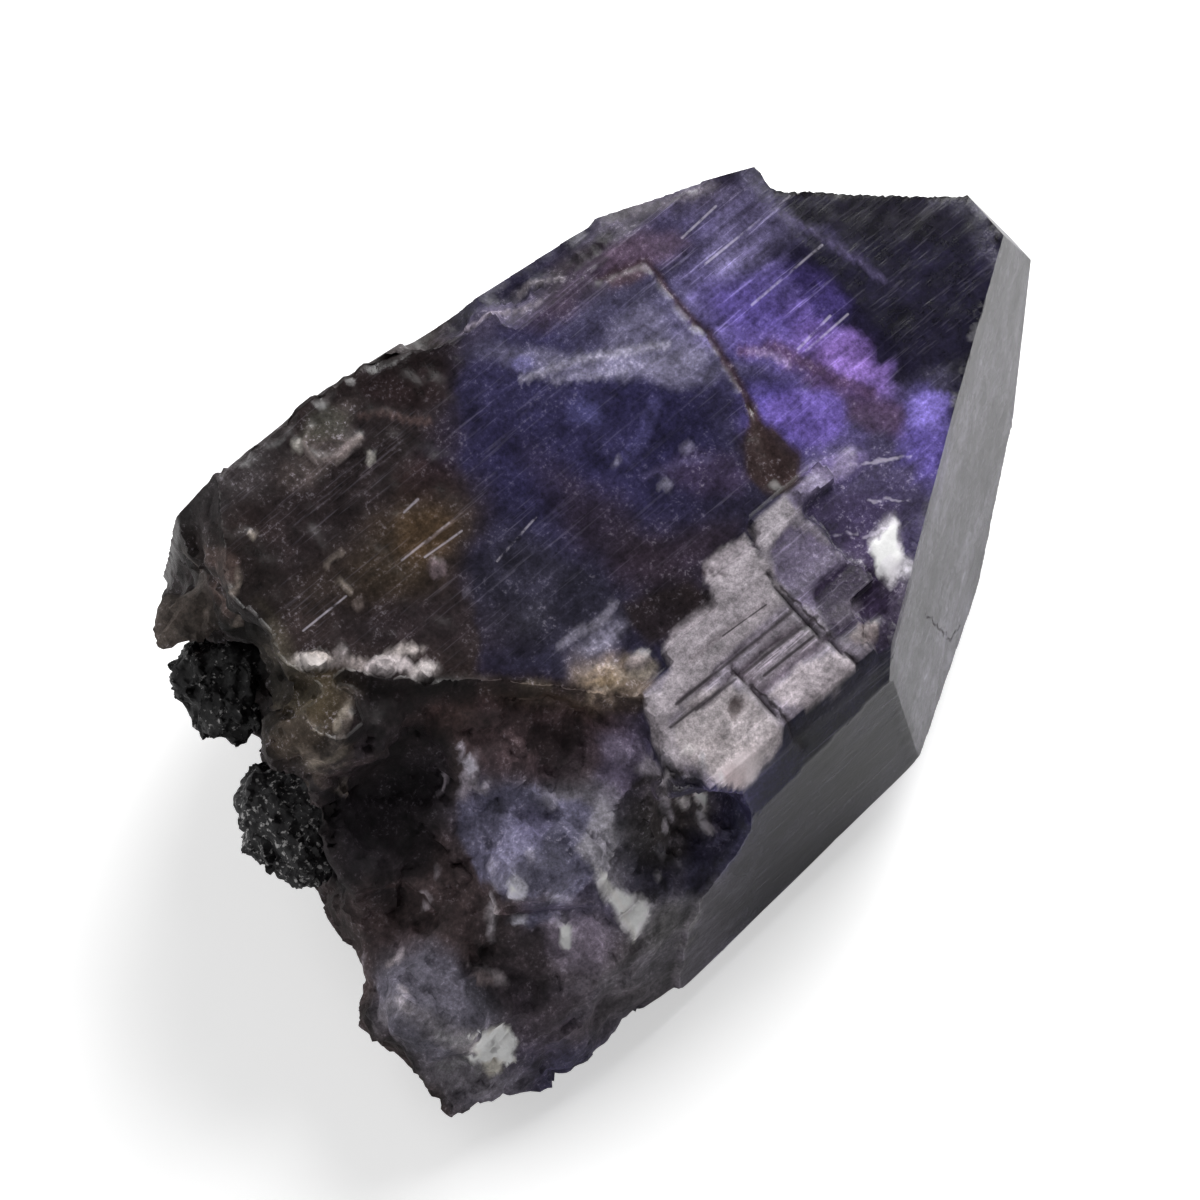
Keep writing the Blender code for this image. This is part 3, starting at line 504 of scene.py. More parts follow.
        (-5.21, -5.81), (-5.6, -5.72)), 0.15, 0.85, (126, 123, 130), (0.5, 0, 0.4), 0.02),
    hollowBrow=("line", ((-3.55, -4.94), (-3.21, -5.07), (-3.1, -5.72), (-2.78, -6.19), (-2.8, -6.59)), 0.15, 0.9,
        (34, 30, 32), (0.2, 0, 0.3), -0.05),
    hollowFloor=("patch", ((-3.82, -5.01), (-3.32, -5.19), (-3.03, -6.27), (-2.28, -5.9), (-3.07, -6.37),
        (-4.04, -6.3), (-4.47, -5.9), (-4.4, -5.26)), 0.36, 0.7, (62, 58, 58), (0.7, 0, 0.3), 0),
    hollowWhiteA=("patch", ((-2.75, -5.53), (-2.49, -5.54), (-2.33, -5.7), (-2.49, -5.76), (-2.61, -5.6)), 0.06,
        0.95, (176, 170, 172), (0, 0, 0.4), 0.06),
    hollowWhiteB=("patch", ((-2.37, -5.89), (-2.25, -5.98), (-2.47, -6.24), (-2.61, -6.17)), 0.06, 0.9,
        (160, 156, 162), (0, 0, 0.4), 0.06),
    hollowWhiteC=("patch", ((-3.29, -5.53), (-3.1, -5.58), (-3.14, -5.76), (-3.34, -5.72)), 0.06, 0.9,
        (156, 150, 156), (0.2, 0, 0.4), 0.05),
    hollowWhiteD=("patch", ((-3.89, -5.87), (-3.6, -5.84), (-3.55, -6.01), (-3.83, -6.09)), 0.06, 0.8,
        (136, 132, 140), (0.3, 0, 0.4), 0.04),
    hollowWhiteE=("patch", ((-4.28, -6.27), (-4.09, -6.28), (-4.27, -6.57), (-4.43, -6.52)), 0.06, 0.85,
        (150, 146, 152), (0.2, 0, 0.4), 0.05),
    hollowWhiteF=("line", ((-3.61, -6.28), (-3.59, -6.54)), 0.06, 0.7, (134, 130, 138), (0.3, 0, 0.4), 0.03),
    hollowWhiteG=("patch", ((-4.75, -7.04), (-4.63, -7.09), (-4.68, -7.22), (-4.84, -7.17)), 0.06, 0.85,
        (150, 146, 150), (0.2, 0, 0.4), 0.04),
    plateFootPale=("patch", ((-3.57, -3.7), (-3.27, -3.8), (-2.91, -4.42), (-3.08, -5.28), (-3.33, -4.85),
        (-3.61, -4.16)), 0.17, 0.55, (96, 88, 104), (0.8, 0, 0.4), 0),
    plateFootWhite=("patch", ((-3.36, -4.67), (-3.02, -4.7), (-2.88, -5.35), (-2.95, -5.71), (-3.2, -5.24)), 0.12,
        0.7, (136, 130, 138), (0.6, 0, 0.4), 0.03),
    navyFlank=("patch", ((-2.75, -6.1), (-2.5, -6.95), (-1.86, -7.29), (-2.51, -7.38), (-3.59, -7.43),
        (-4.14, -7.11), (-3.31, -6.54)), 0.41, 0.75, (42, 40, 60), (0.2, 0.1, 0.2), 0),
    olivEdge=("patch", ((-4.82, -6.75), (-3.93, -7.26), (-3.1, -7.49), (-3.85, -7.56), (-4.76, -7.43),
        (-5.59, -7.21), (-5.31, -7.09)), 0.41, 0.6, (80, 78, 78), (0.3, 0.3, 0.3), 0),
    lobeBrown=("patch", ((-8.04, -4.11), (-7.18, -5.33), (-6.25, -6.47), (-5.55, -7.16), (-5.59, -7.21),
        (-6.71, -6.95), (-8.05, -6.22), (-8.22, -4.99), (-8.37, -4.38)), 0.45, 0.6, (52, 45, 47), (0.15, 0, 0.3),
        0),
    lobeLilac=("patch", ((-7.03, -5.35), (-6.52, -5.7), (-5.99, -6.2), (-6.05, -6.79), (-6.67, -6.91),
        (-7.24, -6.26), (-7.29, -5.72)), 0.41, 0.8, (112, 103, 116), (0.6, 0, 0.4), 0),
    lobeWhite=("patch", ((-7.01, -5.85), (-6.81, -5.67), (-6.61, -5.75), (-6.62, -5.91), (-6.88, -6.03)), 0.06,
        0.95, (196, 190, 198), (0, 0, 0.4), 0.06),
    lobeStroke=("line", ((-7.88, -4.37), (-7.95, -4.5), (-8.16, -4.61)), 0.07, 0.85, (146, 140, 146),
        (0.3, 0, 0.4), 0.05),
    lobePinkGrain=("patch", ((-9.19, -4.87), (-8.9, -4.85), (-8.67, -5.17), (-8.91, -5.28), (-9.18, -5.14)), 0.07,
        0.85, (140, 126, 128), (0.4, 0, 0.4), 0.05),
    lobeCreviceDark=("line", ((-8.55, -4.56), (-8.27, -4.86), (-7.9, -5.18)), 0.12, 0.6, (30, 26, 28),
        (0.1, 0, 0.3), -0.06),
    lobeDashA=("line", ((-10.18, -3.47), (-9.89, -3.26)), 0.06, 0.8, (138, 130, 136), (0.2, 0, 0.4), 0.03),
    lobeDashB=("line", ((-8.82, -2.93), (-8.76, -3.1)), 0.06, 0.8, (138, 130, 136), (0.2, 0, 0.4), 0.03),
    lobeDashC=("patch", ((-10.9, -4.35), (-10.72, -4.37), (-10.71, -4.58), (-10.88, -4.54)), 0.06, 0.8,
        (130, 124, 132), (0.2, 0, 0.4), 0.03),
    lobeDashD=("line", ((-10.61, -2.57), (-10.48, -2.58)), 0.06, 0.7, (120, 112, 118), (0.2, 0, 0.4), 0.03),
    lobeDashE=("line", ((-8.32, -2.85), (-8.16, -2.75)), 0.06, 0.7, (120, 112, 118), (0.2, 0, 0.4), 0.03),
    tipSlate=("patch", ((-11.16, -3.62), (-10.74, -4.82), (-10.26, -5.72), (-9.98, -6.09), (-9.83, -6.64),
        (-10.48, -6.52), (-11.06, -5.97), (-11.11, -4.4), (-11.47, -3.92)), 0.41, 0.75, (98, 94, 100),
        (0.2, 0, 0.4), 0),
    tipStroke=("line", ((-10.79, -5.5), (-10.51, -5.79), (-10.16, -5.86), (-10.12, -6.24)), 0.1, 0.7,
        (122, 120, 124), (0.2, 0, 0.4), 0.03),
    tipShell=("patch", ((-10.16, -5.79), (-10.12, -5.98), (-9.7, -5.96), (-9.32, -6.05), (-9.18, -6.29),
        (-9.29, -6.54), (-9.48, -6.49), (-9.51, -6.31), (-9.72, -6.17), (-9.94, -6.12)), 0.06, 1, (240, 238, 234),
        (0, 0, 0.6), 0.04),
    tipShellFoot=("patch", ((-9.96, -6.15), (-9.74, -6.2), (-9.55, -6.35), (-9.62, -6.49), (-9.93, -6.46),
        (-10, -6.33)), 0.06, 0.85, (172, 168, 160), (0.1, 0, 0.5), 0.04),
    tipBrown=("patch", ((-8.57, -6.05), (-7.34, -6.89), (-6.25, -7.19), (-7.34, -7.24), (-8.71, -6.89),
        (-9.05, -6.19)), 0.45, 0.5, (56, 48, 52), (0.2, 0, 0.3), 0),
    endChip=("patch", ((4.68, -4.7), (4.84, -4.64), (5.09, -4.74), (5.32, -4.58), (5.69, -4.52), (5.68, -4.68),
        (5.28, -5.04), (5.1, -5.4), (4.78, -5.33), (4.52, -5.49), (4.36, -5.26), (4.58, -4.98)), 0.06, 0.97,
        (222, 220, 224), (0.05, 0, 0.5), 0.05),
)


def markMask(flat, kind, points, width):
    points = np.array(points)
    starts = points if kind == "patch" else points[:-1]
    ends = np.roll(points, -1, axis=0) if kind == "patch" else points[1:]
    near = np.all((flat > points.min(axis=0) - 0.6) & (flat < points.max(axis=0) + 0.6), axis=1)
    spots = flat[near]
    away = np.full(len(spots), 9.0)
    inside = np.zeros(len(spots), bool)
    for start, end in zip(starts, ends):
        run = end - start
        share = np.clip((spots - start) @ run / (run @ run), 0.0, 1.0)
        away = np.minimum(away, np.linalg.norm(spots - start - share[:, None] * run, axis=1))
        crosses = (start[1] > spots[:, 1]) != (end[1] > spots[:, 1])
        rise = run[1] if run[1] else 1e-9
        inside ^= crosses & (spots[:, 0] < start[0] + (spots[:, 1] - start[1]) * run[0] / rise)
    mask = np.zeros(len(flat))
    if kind == "patch":
        mask[near] = easeStep(width * 0.6, -width * 0.6, np.where(inside, -away, away))
    else:
        mask[near] = easeStep(max(width, 0.1), width * 0.4, away)
    return mask


# Crystal
crystalShape = dict(
    cell=0.125,
    snapReach=0.13,
    plateHeight=0.2,
    plateBack=-2.0,
    plateTilt=0.014,
    grooveDepth=0.004,
    ledgeDepth=0.012,
    shellWaves=0.06,
    shellLedges=0.06,
    lumps=0.02,
    sharpChips=0.02,
    bigChips=0.20,
    smallChips=0.085,
    brownPits=0.016,
    backEdgeChips=(0.10, 0.22),
    leftEndLumps=0.14,
    smoothAngle=38,
)
crystal = mergedCopy("tanzanite_crystal", "crystal")
evenMesh(crystal, crystalShape["cell"])
dropCrumbs(crystal)
spots, normals = readMesh(crystal)
print("crystal mesh", len(spots))

# Points beside grown faces are laid on them, on up to three at an edge or a corner
faceNormals = np.array([np.array(n) / np.linalg.norm(n) for n, _ in grownFaces.values()])
faceHeights = np.array([heightOver(name, spots) for name in grownFaces])
beside = (np.abs(faceHeights) < crystalShape["snapReach"]) & (faceNormals @ normals.T > 0.35)
order = np.argsort(np.abs(faceHeights), axis=0)
chosen = np.zeros_like(beside)
columns = np.arange(len(spots))
for rank in range(3):
    face = order[rank]
    alike = (faceNormals @ faceNormals.T)[face] > 0.98
    free = beside[face, columns] & ~np.any(chosen.T & alike, axis=1)
    chosen[face[free], columns[free]] = True
for _ in range(5):
    for number, name in enumerate(grownFaces):
        held = chosen[number]
        spots[held] -= faceNormals[number] * heightOver(name, spots[held])[:, None]
overTop = heightOver("top", spots)
topNormal = np.array(grownFaces["top"][0])
overPlate = overTop - crystalShape["plateHeight"]
flat = (np.abs(overPlate) < 0.09) & (normals @ topNormal > 0.93)
spots[flat] -= topNormal * overPlate[flat, None]

# The solid's wide crack is closed to the top plane, and the crack marks cut it again, shallower
crackPath = stoneMarks["crackUpper"][1] + stoneMarks["crackMiddle"][1][1:] + stoneMarks["crackLower"][1][1:]
closed = markMask(spots[:, :2], "line", crackPath, 0.6)
closed = np.maximum(closed, markMask(spots[:, :2], "line", crackPath[-3:], 1.3))
closed = easeStep(0.0, 0.6, closed) * (overTop < 0.05) * (overTop > -1.5) * (normals[:, 2] > -0.2)
spots -= topNormal * (overTop * closed)[:, None]
normals += (topNormal - normals) * closed[:, None]
overTop = heightOver("top", spots)
facesTop = easeStep(0.8, 0.95, normals @ topNormal)
onPlate = easeStep(0.12, 0.17, overTop) * facesTop * easeStep(0.5, 0.0, spots[:, 1] - crystalShape["plateBack"])
nearTop = easeStep(0.3, 0.1, np.abs(overTop)) * facesTop

# Growth plate: terraces that lean back a little, each ending in a low riser
along = spots[:, 0]
across = spots[:, 1] + 0.10 * cloudNoise(spots * (0.25, 0.8, 0.5), 3)


def leaningSteps(width, seed):
    wander = 0.35 * cloudNoise(np.column_stack([along * 0.10, across * 0.6, across * 0.0]), seed)
    step = across / width + wander
    part = step - np.floor(step)
    return -part * width * easeStep(1.0, 0.88, part)


def flatSteps(value, count, riser=0.7):
    level = value * count
    part = level - np.floor(level)
    return (np.floor(level) + easeStep(riser, 1.0, part)) / count


plateRelief = crystalShape["plateTilt"] * (leaningSteps(0.95, 11) + 0.35 * leaningSteps(0.36, 12))

# The brown half is left of x = start + slope * y
brownSide = dict(slope=0.806, start=-4.11, soft=0.2, colour=(47, 39, 39), detail=(0.35, 0.25, 0.2))

# Top face: flat growth ledges along the crystal, and pits that are deeper in the brown half
longWaves = layeredNoise(np.column_stack([along * 0.10, spots[:, 1] * 1.1, spots[:, 2] * 0.2]), 3, 21, 0.6)
brownHalf = easeStep(0.6, -0.6, spots[:, 0] - brownSide["slope"] * spots[:, 1] - brownSide["start"])
offDark = 1.0 - easeStep(0.3, 0.0, np.abs(heightOver("darkFacet", spots))) * easeStep(8.4, 8.9, spots[:, 0])
pits = layeredNoise(spots * 2.2, 2, 23, 0.6)
ledges = crystalShape["ledgeDepth"] * offDark * (flatSteps(longWaves, 3.0) - 0.15)
ledges += (0.003 + crystalShape["brownPits"] * brownHalf) * pits

# Fine grooves along the crystal on the side faces
stretched = np.column_stack([spots[:, 0] * 0.30, spots[:, 1] * 4.0, spots[:, 2] * 4.0])
grooves = layeredNoise(stretched, 2, 22, 0.6)
offFaces = np.min([np.abs(heightOver(name, spots)) for name in grownFaces], axis=0)
grown = np.maximum(easeStep(0.28, 0.08, offFaces), onPlate)

# Broken skin: shell-shaped waves, small ledges and chips
waves = layeredNoise(spots * 0.55, 2, 31, 0.5)
lumps = layeredNoise(spots * 1.5, 2, 34, 0.5)
shell = flatSteps(layeredNoise(spots * (0.7, 1.0, 1.0), 2, 32, 0.5), 3.0, 0.5)
chips = np.abs(layeredNoise(spots * 3.2, 2, 33, 0.5))
broken = (1.0 - grown) * easeStep(0.05, 0.6, offFaces)
bent = spots + 0.25 * np.column_stack([layeredNoise(spots * 1.1, 2, 81 + axis) for axis in range(3)])
bigChip, bigTone = chipped(bent * 0.85, 84)
smallChip, smallTone = chipped(bent * 2.1, 85)
breakHeight = crystalShape["shellWaves"] * waves + crystalShape["shellLedges"] * shell
breakHeight += crystalShape["lumps"] * lumps - crystalShape["sharpChips"] * chips
breakHeight += crystalShape["bigChips"] * bigChip + crystalShape["smallChips"] * smallChip

# Marks lie on what faces up, with shaken edges, and the plate's own marks stay near the top
shaken = spots + 0.05 * np.column_stack([layeredNoise(spots * 2.6, 2, 71 + axis) for axis in range(3)])
fromAbove = easeStep(0.06, 0.25, normals[:, 2])
markMasks = {
    name: strength * fromAbove * markMask(shaken[:, :2], kind, points, width)
    for name, (kind, points, width, strength, *_) in stoneMarks.items()
}
for name in stoneMarks:
    if name.startswith("plate") and not name.startswith("plateFoot"):
        markMasks[name] *= easeStep(-1.0, -0.5, overTop)

# All the relief together
height = onPlate * plateRelief
height += sum(markMasks[name] * mark[-1] for name, mark in stoneMarks.items())
height += nearTop * (1.0 - onPlate) * ledges
height += grown * (1.0 - nearTop) * crystalShape["grooveDepth"] * grooves
height += broken * breakHeight
offBack = np.min([np.abs(heightOver(name, spots)) for name in ("back", "backTaper", "backBevel")], axis=0)
backEdge = easeStep(0.45, 0.1, np.abs(overTop)) * easeStep(0.45, 0.1, offBack)
backEdge = backEdge * easeStep(7.0, 5.0, spots[:, 0])
chipDepth, chipSpread = crystalShape["backEdgeChips"]
height -= backEdge * np.maximum(0.0, chipDepth + chipSpread * layeredNoise(spots * 1.6, 3, 38, 0.6))
leftEnd = broken * easeStep(-6.8, -8.6, spots[:, 0]) * easeStep(1.0, 2.5, spots[:, 1])
height += leftEnd * (crystalShape["leftEndLumps"] * layeredNoise(spots * 1.3, 3, 37) - 0.04)
spots += normals * height[:, None]

# Everything stays inside the solid's own box
boxLow = np.array(cadLow) / mm + np.array(stoneMiddle)
boxHigh = np.array(cadHigh) / mm + np.array(stoneMiddle)
writeMesh(crystal, np.clip(spots, boxLow, boxHigh))
makeActive(crystal)
bpy.ops.object.shade_smooth_by_angle(angle=math.radians(crystalShape["smoothAngle"]))
print("crystal relief done", len(crystal.data.polygons))


# Colour zones of the crystal, in the order that they are laid on:
# centre, size, turn in degrees, softness, strength, colour, and how flecked, streaked and frosted each is
crystalZones = dict(
    blueBody=((1.2, 1.6, 9.93), (4.0, 3.02, 1.2), (15, 0, 0), 0.45, 0.8, (44, 41, 74), (0.15, 0.25, 0.1)),
    blueUpper=((1.84, 4.04, 10.58), (2.35, 1.41, 1.2), (14, 5, -19), 0.5, 0.7, (50, 47, 78), (0.3, 0.3, 0.2)),
    blueHeart=((2.92, 0.9, 9.74), (1.79, 1.05, 1.2), (-3, 15, -104), 0.5, 0.8, (40, 37, 68), (0.15, 0.1, 0.1)),
    blueGrey=((-2.23, -0.38, 9.4), (2.26, 1.47, 1.2), (1, 15, -87), 0.5, 0.8, (42, 40, 52), (0.2, 0.3, 0.1)),
    blueLow=((-2.56, -1.25, 9.16), (1.6, 0.88, 1.0), (15, 0, 0), 0.5, 0.6, (52, 50, 70), (0.5, 0.3, 0.2)),
    redShadow=((0.01, -0.87, 9.27), (2.77, 0.69, 1.0), (1, 15, -87), 0.6, 0.7, (46, 37, 43), (0.2, 0.1, 0.1)),
    umberMiddle=((1.0, -2.14, 8.93), (1.42, 1.17, 1.0), (13, 7, -28), 0.5, 0.7, (44, 36, 42), (0.3, 0.1, 0.1)),
    lilacHaze=((4.24, 3.15, 10.34), (1.51, 1.12, 1.0), (10, 11, -49), 0.6, 0.6, (88, 84, 112), (0.4, 0.3, 0.3)),
    veil=((2.8, 2.9, 10.28), (2.66, 0.34, 0.8), (11, 10, -42), 0.6, 0.6, (128, 124, 150), (0.9, 0.3, 0.5)),
    veilTail=((4.87, 1.83, 9.99), (1.05, 0.36, 0.8), (15, 4, -14), 0.6, 0.6, (128, 124, 150), (0.7, 0.3, 0.4)),
    pinkMargin=((4.18, 4.68, 10.76), (1.99, 0.61, 1.0), (15, 1, -5), 0.5, 0.7, (74, 59, 75), (0.5, 0.3, 0.3)),
    greyMargin=((6.79, 4.88, 10.61), (1.96, 0.41, 1.2), (14, 4, -17), 0.5, 0.7, (96, 88, 108), (0.5, 0.6, 0.4)),
    marginLow=((1.75, 5.37, 10.65), (1.33, 0.4, 1.2), (15, 1, -5), 0.5, 0.6, (98, 90, 112), (0.5, 0.3, 0.4)),
    streakedPale=((7.42, 2.59, 10.19), (2.31, 1.76, 1.2), (1, 15, -87), 0.4, 0.85, (72, 66, 98), (0.1, 1.0, 0.15)),
    streakedBright=((6.37, 2.48, 10.16), (1.47, 0.7, 1.0), (15, -1, 5), 0.5, 0.6, (104, 98, 136), (0.1, 1.0, 0.2)),
    violetBlue=((6.52, 1.03, 9.78), (1.88, 0.97, 1.0), (5, 14, -71), 0.5, 0.8, (84, 72, 132), (0.2, 0.6, 0.1)),
    # The glow zones are painted glow: light passing through the stone, laid on as colour
    violetGlow=((7.66, -0.58, 9.34), (1.56, 0.8, 1.0), (2, 15, -84), 0.45, 0.95, (104, 84, 148), (0.2, 0.7, 0.1)),
    violetEdge=((7.89, -1.42, 9.12), (0.65, 0.37, 1.0), (2, 15, -84), 0.5, 0.7, (116, 92, 154), (0.1, 0.2, 0.1)),
    purpleBand=((7.04, -1.29, 9.16), (2.13, 0.35, 1.0), (5, 14, -71), 0.6, 0.8, (72, 54, 88), (0.4, 0.1, 0.2)),
    blueGlow=((5.45, -1.48, 9.1), (1.3, 0.91, 1.0), (4, 14, -73), 0.5, 0.95, (84, 72, 142), (0.2, 0.3, 0.1)),
    endGlow=((7.88, -3.85, 8.47), (1.35, 0.77, 1.0), (-7, 13, -119), 0.5, 0.9, (92, 80, 148), (0.4, 0.3, 0.1)),
    rippled=((5.43, -3.69, 8.51), (2.15, 1.65, 1.2), (-1, 15, -93), 0.4, 0.8, (62, 55, 84), (0.9, 0.3, 0.4)),
    rippledLow=((3.97, -5.8, 7.95), (1.79, 1.05, 1.2), (-3, 15, -104), 0.4, 0.7, (66, 57, 74), (0.6, 0.3, 0.3)),
    darkFacet=((10.36, 0.17, 9.44), (3.16, 2.46, 0.9), (2, 15, -84), 0.07, 0.97, (24, 21, 40), (0, 0.25, 0)),
    darkFacetTop=((11.12, 1.4, 9.71), (2.29, 0.74, 0.9), (12, 9, -38), 0.5, 0.6, (20, 17, 24), (0, 0.1, 0)),
    darkFacetLine=((9.55, 1.43, 9.83), (1.8, 0.19, 0.8), (4, 14, -74), 0.6, 0.5, (66, 60, 92), (0, 0.1, 0)),
    crackBrown=((4.4, -1.42, 8.8), (0.86, 0.64, 1.0), (-1, 15, -93), 0.35, 0.95, (52, 40, 42), (0.3, 0, 0.2)),
    brownTop=((-1.96, 5.55, 10.99), (2.39, 0.91, 1.2), (15, 1, -5), 0.5, 0.6, (36, 30, 32), (0.2, 0.25, 0.2)),
    brownMiddle=((-4.85, 4.43, 10.69), (2.4, 1.51, 1.2), (15, 0, 0), 0.5, 0.7, (36, 30, 32), (0.2, 0.25, 0.2)),
    olive=((-3.84, 2.5, 10.17), (1.92, 1.06, 1.0), (15, 0, 0), 0.5, 0.8, (62, 51, 40), (0.3, 0.25, 0.1)),
    oliveLow=((-5.69, 2.84, 10.26), (1.6, 0.86, 1.0), (15, 0, 0), 0.5, 0.5, (50, 42, 36), (0.3, 0.25, 0.2)),
    # Painted shade: the left end wall is painted darker, as it lies in shade
    leftWallShade=((-8.6, 5.0, 9.6), (1.5, 2.6, 2.4), (0, 0, 0), 0.3, 0.75, (32, 27, 26), (0.4, 0.1, 0.3)),
    pinkLeft=((-8.02, 5.12, 10.46), (1.66, 0.75, 1.4), (13, -7, 27), 0.5, 0.6, (48, 39, 38), (0.5, 0.1, 0.3)),
    greyLeft=((-6.5, 6.37, 11.21), (1.87, 0.75, 1.4), (15, -1, 5), 0.5, 0.6, (56, 52, 54), (0.3, 0.25, 0.4)),
    chipsLeft=((-3.96, 5.66, 11.02), (1.23, 0.4, 0.9), (15, -1, 5), 0.5, 0.6, (92, 82, 80), (1.0, 0.3, 0.5)),
    brownLow=((-4.93, 0.48, 9.63), (2.29, 0.79, 1.2), (12, 9, -38), 0.5, 0.6, (42, 35, 39), (0.3, 0.2, 0.2)),
    recess=((-8.1, 4.11, 8.18), (1.82, 1.04, 1.8), (-10, -55, -2), 0.35, 0.95, (20, 17, 15), (0, 0, 0.3)),
    saddleRidge=((-8.29, 3.71, 7.32), (1.94, 0.41, 1.2), (5, -56, -20), 0.5, 0.7, (78, 72, 68), (0.2, 0.3, 0.4)),
    brownLump=((-9.12, 1.06, 9.48), (1.6, 1.19, 1.6), (41, -14, -17), 0.35, 0.9, (58, 49, 40), (0.7, 0.2, 0.4)),
    lumpOlive=((-8.61, 1.34, 9.36), (0.85, 0.67, 1.2), (43, -7, -25), 0.5, 0.7, (76, 67, 52), (0.4, 0.1, 0.3)),
    leftLump=((-8.84, 5.96, 8.13), (1.17, 0.86, 1.4), (-10, -55, -2), 0.4, 0.85, (104, 94, 88), (0.5, 0, 0.4)),
    # Painted shade in the deep trough below the brown lump
    troughShade=((-7.55, -0.61, 6.8), (3.14, 1.34, 2.0), (34, -28, 2), 0.3, 0.95, (24, 19, 22), (0.05, 0, 0.35)),
    blackLow=((-9.88, -1.3, 6.36), (1.78, 0.86, 2.0), (20, -39, 27), 0.4, 0.9, (24, 20, 22), (0.05, 0, 0.35)),
    trough=((-4.7, -2.07, 8.15), (2.91, 1.07, 2.0), (42, 12, -46), 0.35, 0.9, (58, 43, 42), (0.25, 0, 0.3)),
    troughOlive=((-3.82, -2.55, 8.41), (1.39, 0.46, 1.4), (42, 13, -48), 0.5, 0.8, (46, 36, 26), (0.2, 0, 0.3)),
    cream=((-2.62, -3.13, 8.66), (1.12, 0.66, 1.2), (39, 20, -56), 0.45, 0.85, (132, 116, 102), (1.0, 0, 0.5)),
    creamPatch=((-2.64, -2.73, 8.77), (0.56, 0.31, 1.0), (42, 13, -48), 0.4, 0.8, (160, 140, 118), (1.0, 0, 0.5)),
    greyMottle=((-2.34, -2.07, 8.94), (0.95, 0.57, 1.2), (42, -11, -21), 0.5, 0.5, (84, 80, 98), (1.0, 0, 0.4)),
    brownPurple=((-4.65, -3.41, 7.05), (2.29, 1.02, 2.0), (41, 17, -52), 0.4, 0.8, (50, 41, 45), (0.15, 0, 0.3)),
    paleSpots=((-3.59, -4.59, 7.0), (1.09, 0.75, 1.6), (19, 40, -95), 0.5, 0.7, (88, 80, 100), (0.8, 0, 0.4)),
    lilacMottle=((-6.4, -4.18, 6.65), (2.03, 1.48, 2.0), (42, 13, -48), 0.3, 0.95, (78, 74, 86), (0.7, 0, 0.5)),
    lilacLight=((-6.39, -3.29, 6.83), (1.1, 0.67, 1.6), (43, 0, -33), 0.5, 0.6, (84, 80, 98), (0.5, 0, 0.5)),
    lilacFoot=((-6.96, -5.11, 6.47), (1.16, 0.36, 1.4), (43, 9, -42), 0.45, 0.85, (146, 141, 160), (0.9, 0, 0.5)),
    lilacDeep=((-5.71, -4.58, 6.65), (0.62, 0.65, 1.4), (36, 26, -64), 0.5, 0.6, (70, 66, 84), (0.3, 0, 0.4)),
    streakSheet=((-4.78, -4.95, 6.2), (1.81, 0.65, 1.8), (15, 41, -101), 0.5, 0.85, (100, 97, 105), (0.3, 0.1, 0.5)),
    streakTip=((-5.28, -6.53, 5.08), (0.98, 0.3, 1.4), (17, 40, -97), 0.35, 0.95, (140, 137, 142), (0.2, 0.1, 0.4)),
    hollow=((-2.93, -5.58, 5.41), (1.4, 1.05, 2.2), (16, 26, -100), 0.35, 0.85, (62, 56, 54), (0.5, 0, 0.3)),
    hollowRing=((-2.28, -5.68, 5.48), (0.9, 0.35, 1.6), (16, 26, -100), 0.5, 0.3, (96, 90, 96), (1.0, 0, 0.5)),
    navyBelow=((-3.23, -6.88, 4.79), (1.95, 0.6, 1.8), (18, -24, 7), 0.5, 0.8, (46, 44, 66), (0.3, 0, 0.2)),
    brownLobe=((-8.91, -3.61, 5.1), (2.52, 1.79, 2.4), (30, -33, 10), 0.35, 0.85, (60, 49, 50), (0.15, 0, 0.35)),
    brownLobeLow=((-7.28, -6.13, 4.01), (2.25, 1.19, 2.4), (43, -7, -25), 0.4, 0.8, (50, 43, 46), (0.15, 0, 0.3)),
    violetLobe=((-5.99, -6.2, 5.05), (1.11, 0.87, 1.8), (30, -33, 10), 0.5, 0.7, (86, 80, 98), (0.5, 0, 0.4)),
    greyLobe=((-6.78, -6.67, 4.09), (1.0, 0.57, 1.6), (41, -14, -17), 0.5, 0.5, (100, 94, 104), (0.6, 0, 0.4)),
    blueGreyLow=((-10.74, -5.01, 4.75), (2.22, 1.3, 2.2), (26, 36, -84), 0.35, 0.9, (74, 72, 82), (0.2, 0, 0.4)),
    tipGrey=((-10.27, -6.04, 2.29), (1.6, 0.85, 2.2), (32, 31, -73), 0.4, 0.8, (78, 75, 84), (0.2, 0, 0.4)),
    lobeEdge=((-6.8, -7.04, 2.2), (2.98, 0.85, 1.8), (87, 22, 1), 0.5, 0.7, (58, 52, 56), (0.2, 0, 0.4)),
    sideLeft=((-4.39, -7.39, 2.94), (2.85, 2.32, 1.4), (87, -6, 3), 0.4, 0.8, (76, 72, 76), (0.2, 0.2, 0.4)),
    # Painted shade: the side face is painted darker
    sideShade=((-0.18, -7.36, 3.18), (3.05, 2.64, 1.2), (87, -11, 3), 0.4, 0.7, (24, 23, 28), (0.05, 0.3, 0.3)),
    bevelNavy=((-1.24, -7.27, 6.28), (3.34, 0.94, 1.0), (68, -9, 4), 0.4, 0.8, (32, 31, 50), (0.1, 0.4, 0.2)),
    chipEnd=((4.96, -5.02, 8.15), (0.91, 0.28, 0.8), (13, -8, 32), 0.25, 0.95, (214, 210, 216), (0.2, 0, 0.5)),
    chipEndFoot=((4.94, -5.46, 8.04), (0.5, 0.22, 0.8), (5, 14, -71), 0.3, 0.8, (196, 192, 200), (0.2, 0, 0.5)),
    seamWhiteA=((-8.08, 1.76, 10.19), (0.49, 0.21, 1.0), (12, 8, -33), 0.25, 0.95, (186, 176, 172), (0.2, 0, 0.5)),
    seamWhiteB=((-7.25, 1.11, 9.79), (0.35, 0.16, 1.0), (11, 10, -44), 0.3, 0.8, (150, 140, 138), (0.4, 0, 0.5)),
